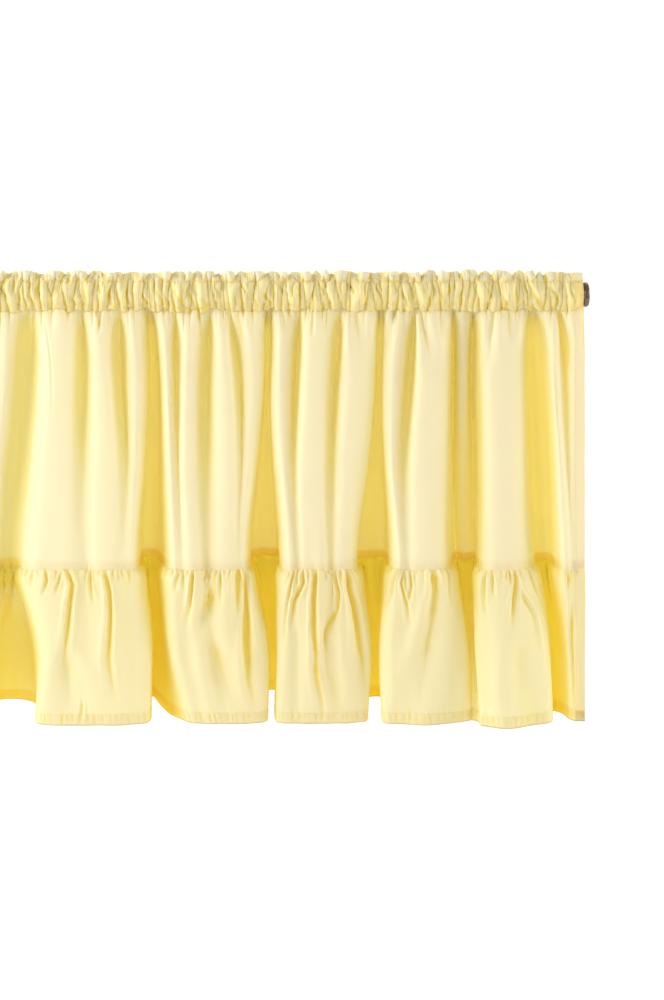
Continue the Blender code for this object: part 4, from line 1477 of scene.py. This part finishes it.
# %% Every piece gets its finish
def wear_material(piece, material):
    piece.data.materials.clear()
    piece.data.materials.append(material)


# Each piece has its own lit and painted shade tones, and its own strength of painted fold shade.
panel_cotton = cotton("woven_cotton_panel", 0.32, 0.62, PANEL_LIT_AND_SHADE_TONES)
heading_cotton = cotton("woven_cotton_heading", 0.04, 0.92, HEADING_LIT_AND_SHADE_TONES)
ruffle_cotton = cotton("woven_cotton_ruffle", 0.32, 1.0, RUFFLE_LIT_AND_SHADE_TONES)
bronze = bronzed_metal("bronze_lacquered_steel", 0.26)
wear_material(panel, panel_cotton)
wear_material(heading, heading_cotton)
wear_material(ruffle, ruffle_cotton)
for cap in caps.values():
    wear_material(cap, bronze)
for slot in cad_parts["curtain_rod"].material_slots:
    slot.material = bronze
print("materials:", [material.name for material in bpy.data.materials])

# %% [markdown]
# ## Stitches
# Sewing thread shows as a row of short raised ovals. A small Geometry Nodes tree walks along a
# line and sets one oval at every step, a little uneven in length. The same tree serves the
# pocket, the side hems and the hem, and its result is turned into a plain mesh.

# %% Thread
TWIST_MM = 0.3


def sewing_thread(name):
    """Mercerised cotton thread, a tone deeper than the cloth, with the sheen of its twist."""
    material, tree = new_material(name)
    place = add_node(tree, "ShaderNodeTexCoord").outputs["Object"]
    twist = add_node(tree, "ShaderNodeTexWave", {"bands_direction": "DIAGONAL"}, Vector=place,
                     Scale=1.0 / (WAVE_BANDS * TWIST_MM * MM), Distortion=0.5)
    colour = add_node(tree, "ShaderNodeMix", RGBA, _0=twist.outputs["Fac"],
                      _6=linear("#E8CE84"), _7=linear("#F8E8AE"))
    bump = add_node(tree, "ShaderNodeBump", Height=twist.outputs["Fac"], Strength=0.3,
                    Distance=0.0001)
    surface = add_node(tree, "ShaderNodeBsdfPrincipled", Normal=bump.outputs["Normal"],
                       Roughness=0.55, **{"Base__Color": colour.outputs[2]})
    add_node(tree, "ShaderNodeOutputMaterial", Surface=surface.outputs["BSDF"])
    return material


# %% The tree that sews
def sewing_tree(name):
    """Inputs: the line as a mesh of edges, the pitch, length and width of a stitch, the thread."""
    tree = bpy.data.node_groups.new(name, "GeometryNodeTree")
    tree.interface.new_socket("Geometry", in_out="INPUT", socket_type="NodeSocketGeometry")
    for label in ("Pitch", "Length", "Width"):
        tree.interface.new_socket(label, in_out="INPUT", socket_type="NodeSocketFloat")
    tree.interface.new_socket("Thread", in_out="INPUT", socket_type="NodeSocketMaterial")
    tree.interface.new_socket("Geometry", in_out="OUTPUT", socket_type="NodeSocketGeometry")
    given = add_node(tree, "NodeGroupInput").outputs
    curve = add_node(tree, "GeometryNodeMeshToCurve", Mesh=given["Geometry"])
    steps = add_node(tree, "GeometryNodeResampleCurve", {"mode": "LENGTH"},
                     Curve=curve.outputs["Curve"], Length=given["Pitch"])
    oval = add_node(tree, "GeometryNodeMeshIcoSphere", Radius=0.5, Subdivisions=1)
    uneven = add_node(tree, "FunctionNodeRandomValue", _2=0.85, _3=1.0, Seed=4)
    length = add_node(tree, "ShaderNodeMath", {"operation": "MULTIPLY"}, _0=given["Length"],
                      _1=uneven.outputs[1])
    size = add_node(tree, "ShaderNodeCombineXYZ", X=length.outputs[0], Y=given["Width"],
                    Z=given["Width"])
    tangent = add_node(tree, "GeometryNodeInputTangent")
    turn = add_node(tree, "FunctionNodeAlignRotationToVector", {"axis": "X"},
                    Vector=tangent.outputs["Tangent"])
    row = add_node(tree, "GeometryNodeInstanceOnPoints", Points=steps.outputs["Curve"],
                   Instance=oval.outputs["Mesh"], Rotation=turn.outputs["Rotation"],
                   Scale=size.outputs["Vector"])
    real = add_node(tree, "GeometryNodeRealizeInstances", Geometry=row.outputs["Instances"])
    worn = add_node(tree, "GeometryNodeSetMaterial", Geometry=real.outputs["Geometry"],
                    Material=given["Thread"])
    add_node(tree, "NodeGroupOutput", Geometry=worn.outputs["Geometry"])
    return tree


# %% Sew along lines
STITCH_PITCH, STITCH_LENGTH, STITCH_WIDTH = 3.0, 2.3, 0.42
thread = sewing_thread("cotton_thread")
sewing = sewing_tree("sew_along_a_line")


def sew(name, lines):
    """A plain mesh of stitches along lines of points in mm."""
    guide = bpy.data.meshes.new(name)
    points, edges = [], []
    for line in lines:
        edges += [(len(points) + step, len(points) + step + 1) for step in range(len(line) - 1)]
        points += (line * MM).tolist()
    guide.from_pydata(points, edges, [])
    piece = add_object(name, guide)
    modifier = piece.modifiers.new("sewing", "NODES")
    modifier.node_group = sewing
    sockets = {item.name: item.identifier for item in sewing.interface.items_tree
               if item.in_out == "INPUT"}
    modifier[sockets["Pitch"]] = STITCH_PITCH * MM
    modifier[sockets["Length"]] = STITCH_LENGTH * MM
    modifier[sockets["Width"]] = STITCH_WIDTH * MM
    modifier[sockets["Thread"]] = thread
    sewn = piece.evaluated_get(bpy.context.evaluated_depsgraph_get())
    stitches = bpy.data.meshes.new_from_object(sewn)
    piece.modifiers.remove(modifier)
    piece.data = stitches
    bpy.data.meshes.remove(guide)
    stitches.name = name
    return piece


# %% Sew the pocket, the side hems and the hem
STITCHES_FROM_EDGE = SIDE_HEM_WIDTH - 1.2
THREAD_LIFT = 0.12
HEADING_LIFT = np.array([0.0, -0.25, 0.0])


def side_lines(grid, along, front):
    """The two lines of stitches down the side hems, just in front of the cloth."""
    inside = int(np.searchsorted(along, STITCHES_FROM_EDGE))
    return [front[:, inside], front[:, grid.shape[1] - 1 - inside]]


panel_front = panel_grid + grid_normals(panel_grid) * THREAD_LIFT
panel_thread = sew("panel_thread", side_lines(panel_grid, panel_columns[2], panel_front[2:-4]))
heading_thread = sew("heading_thread", [heading_grid[16] + HEADING_LIFT])
sewn_ruffle = ruffle_grid[ruffle_first:ruffle_first + ruffle_hem + 6]
ruffle_front = sewn_ruffle + grid_normals(sewn_ruffle) * THREAD_LIFT
ruffle_thread = sew("ruffle_thread", [ruffle_front[ruffle_hem]]
                    + side_lines(ruffle_grid, ruffle_columns[2], ruffle_front[2:]))
for piece in (panel_thread, heading_thread, ruffle_thread):
    print(piece.name, "faces:", len(piece.data.polygons), [slot.name for slot in piece.material_slots])

# %% [markdown]
# ## What each piece belongs to
# Every piece rides on the one body of the valance, and stands for an imported solid or adds to
# it; the solids that pieces stand for are hidden.

# %% Body, and the solids that are replaced
for piece in (panel, heading, ruffle, panel_thread, heading_thread, ruffle_thread, *caps.values()):
    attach(piece, "root")
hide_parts("valance_panel")
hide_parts("valance_panel")
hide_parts("valance_ruffle")
for node, cap in caps.items():
    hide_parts(node)

# %% [markdown]
# ## Stage and light
# A pale sweep makes floor and backdrop in one, and it is clear from behind. The light is a
# bright, even surround with one large soft lamp from the upper left front, which leaves the right
# sides of the folds in shade. Stage, lamps and camera are set in metres and watts.

# %% Stage
FLOOR_Z, WALL_Y = -0.95, 0.75
SWEEP_RADIUS, STAGE_HALF, STAGE_FRONT, STAGE_TOP = 0.5, 3.5, -3.0, 2.2


def make_stage():
    turns = [math.radians(angle) for angle in range(0, 91, 6)]
    profile = [(STAGE_FRONT, FLOOR_Z)]
    profile += [(WALL_Y - SWEEP_RADIUS + SWEEP_RADIUS * math.sin(turn),
                 FLOOR_Z + SWEEP_RADIUS - SWEEP_RADIUS * math.cos(turn)) for turn in turns]
    profile.append((WALL_Y, STAGE_TOP))
    vertices = [(side * STAGE_HALF, y, z) for y, z in profile for side in (-1, 1)]
    faces = [(2 * row, 2 * row + 1, 2 * row + 3, 2 * row + 2) for row in range(len(profile) - 1)]
    mesh = bpy.data.meshes.new("stage")
    mesh.from_pydata(vertices, [], faces)
    mesh.shade_smooth()
    sweep = add_object("stage", mesh)
    material, tree = new_material("painted_paper_sweep")
    paper = add_node(tree, "ShaderNodeBsdfPrincipled", Roughness=1.0,
                     **{"Base__Color": linear("#FCFCFC"), "Specular__IOR__Level": 0.0})
    clear = add_node(tree, "ShaderNodeBsdfTransparent")
    behind = add_node(tree, "ShaderNodeNewGeometry").outputs["Backfacing"]
    one_sided = add_node(tree, "ShaderNodeMixShader", _0=behind, _1=paper.outputs["BSDF"],
                         _2=clear.outputs["BSDF"])
    add_node(tree, "ShaderNodeOutputMaterial", Surface=one_sided.outputs[0])
    mesh.materials.append(material)


make_stage()


# %% Light
def area_lamp(name, place, aim, size, power):
    light = bpy.data.lights.new(name, "AREA")
    light.shape = "RECTANGLE"
    light.size, light.size_y = size
    light.energy = power
    lamp = add_object(name, light)
    lamp.location = place
    lamp.visible_camera = False
    way = [aim[axis] - place[axis] for axis in range(3)]
    flat = math.hypot(way[0], way[1])
    lamp.rotation_euler = (math.atan2(flat, -way[2]), 0.0, math.atan2(-way[0], way[1]))


area_lamp("key_softbox", (-2.1, -1.25, 0.7), (0.1, 0.0, -0.2), (1.0, 1.0), 26.5)
area_lamp("fill_softbox", (1.9, -1.6, 0.3), (0.1, 0.0, -0.2), (1.6, 1.6), 3.0)
area_lamp("glint_card", (0.6, -1.35, 0.02), (0.385, 0.0, 0.0), (0.1, 0.16), 0.3)
area_lamp("backdrop_left", (-2.3, -0.2, 0.6), (-0.4, 0.75, -0.2), (0.8, 1.6), 30.0)
area_lamp("backdrop_right", (2.6, -0.2, 0.6), (0.7, 0.75, -0.2), (0.8, 1.6), 30.0)
world = bpy.data.worlds.new("studio")
bpy.context.scene.world = world
world.use_nodes = True
world.node_tree.nodes["Background"].inputs["Color"].default_value = linear("#FFFFFF")
world.node_tree.nodes["Background"].inputs["Strength"].default_value = 0.45

# %% [markdown]
# ## Camera
# The camera stands where the folds were sighted from, level, and looks straight at the cloth. A
# vertical shift of the lens takes in the hem without tilting the view, so upright lines stay
# upright.

# %% Camera, at the place where the folds were sighted from
CAMERA_Z = 0.045
camera = add_object("camera", bpy.data.cameras.new("camera"))
camera.location = (STATION_X * MM, (SIGHT_PLANE_Y - STATION_DISTANCE) * MM, CAMERA_Z)
camera.rotation_euler = (math.radians(90.0), 0.0, 0.0)
camera.data.lens = 54.0
camera.data.sensor_width = 36.0
camera.data.shift_y = -0.25
bpy.context.scene.camera = camera
bpy.context.scene.view_settings.view_transform = "Standard"
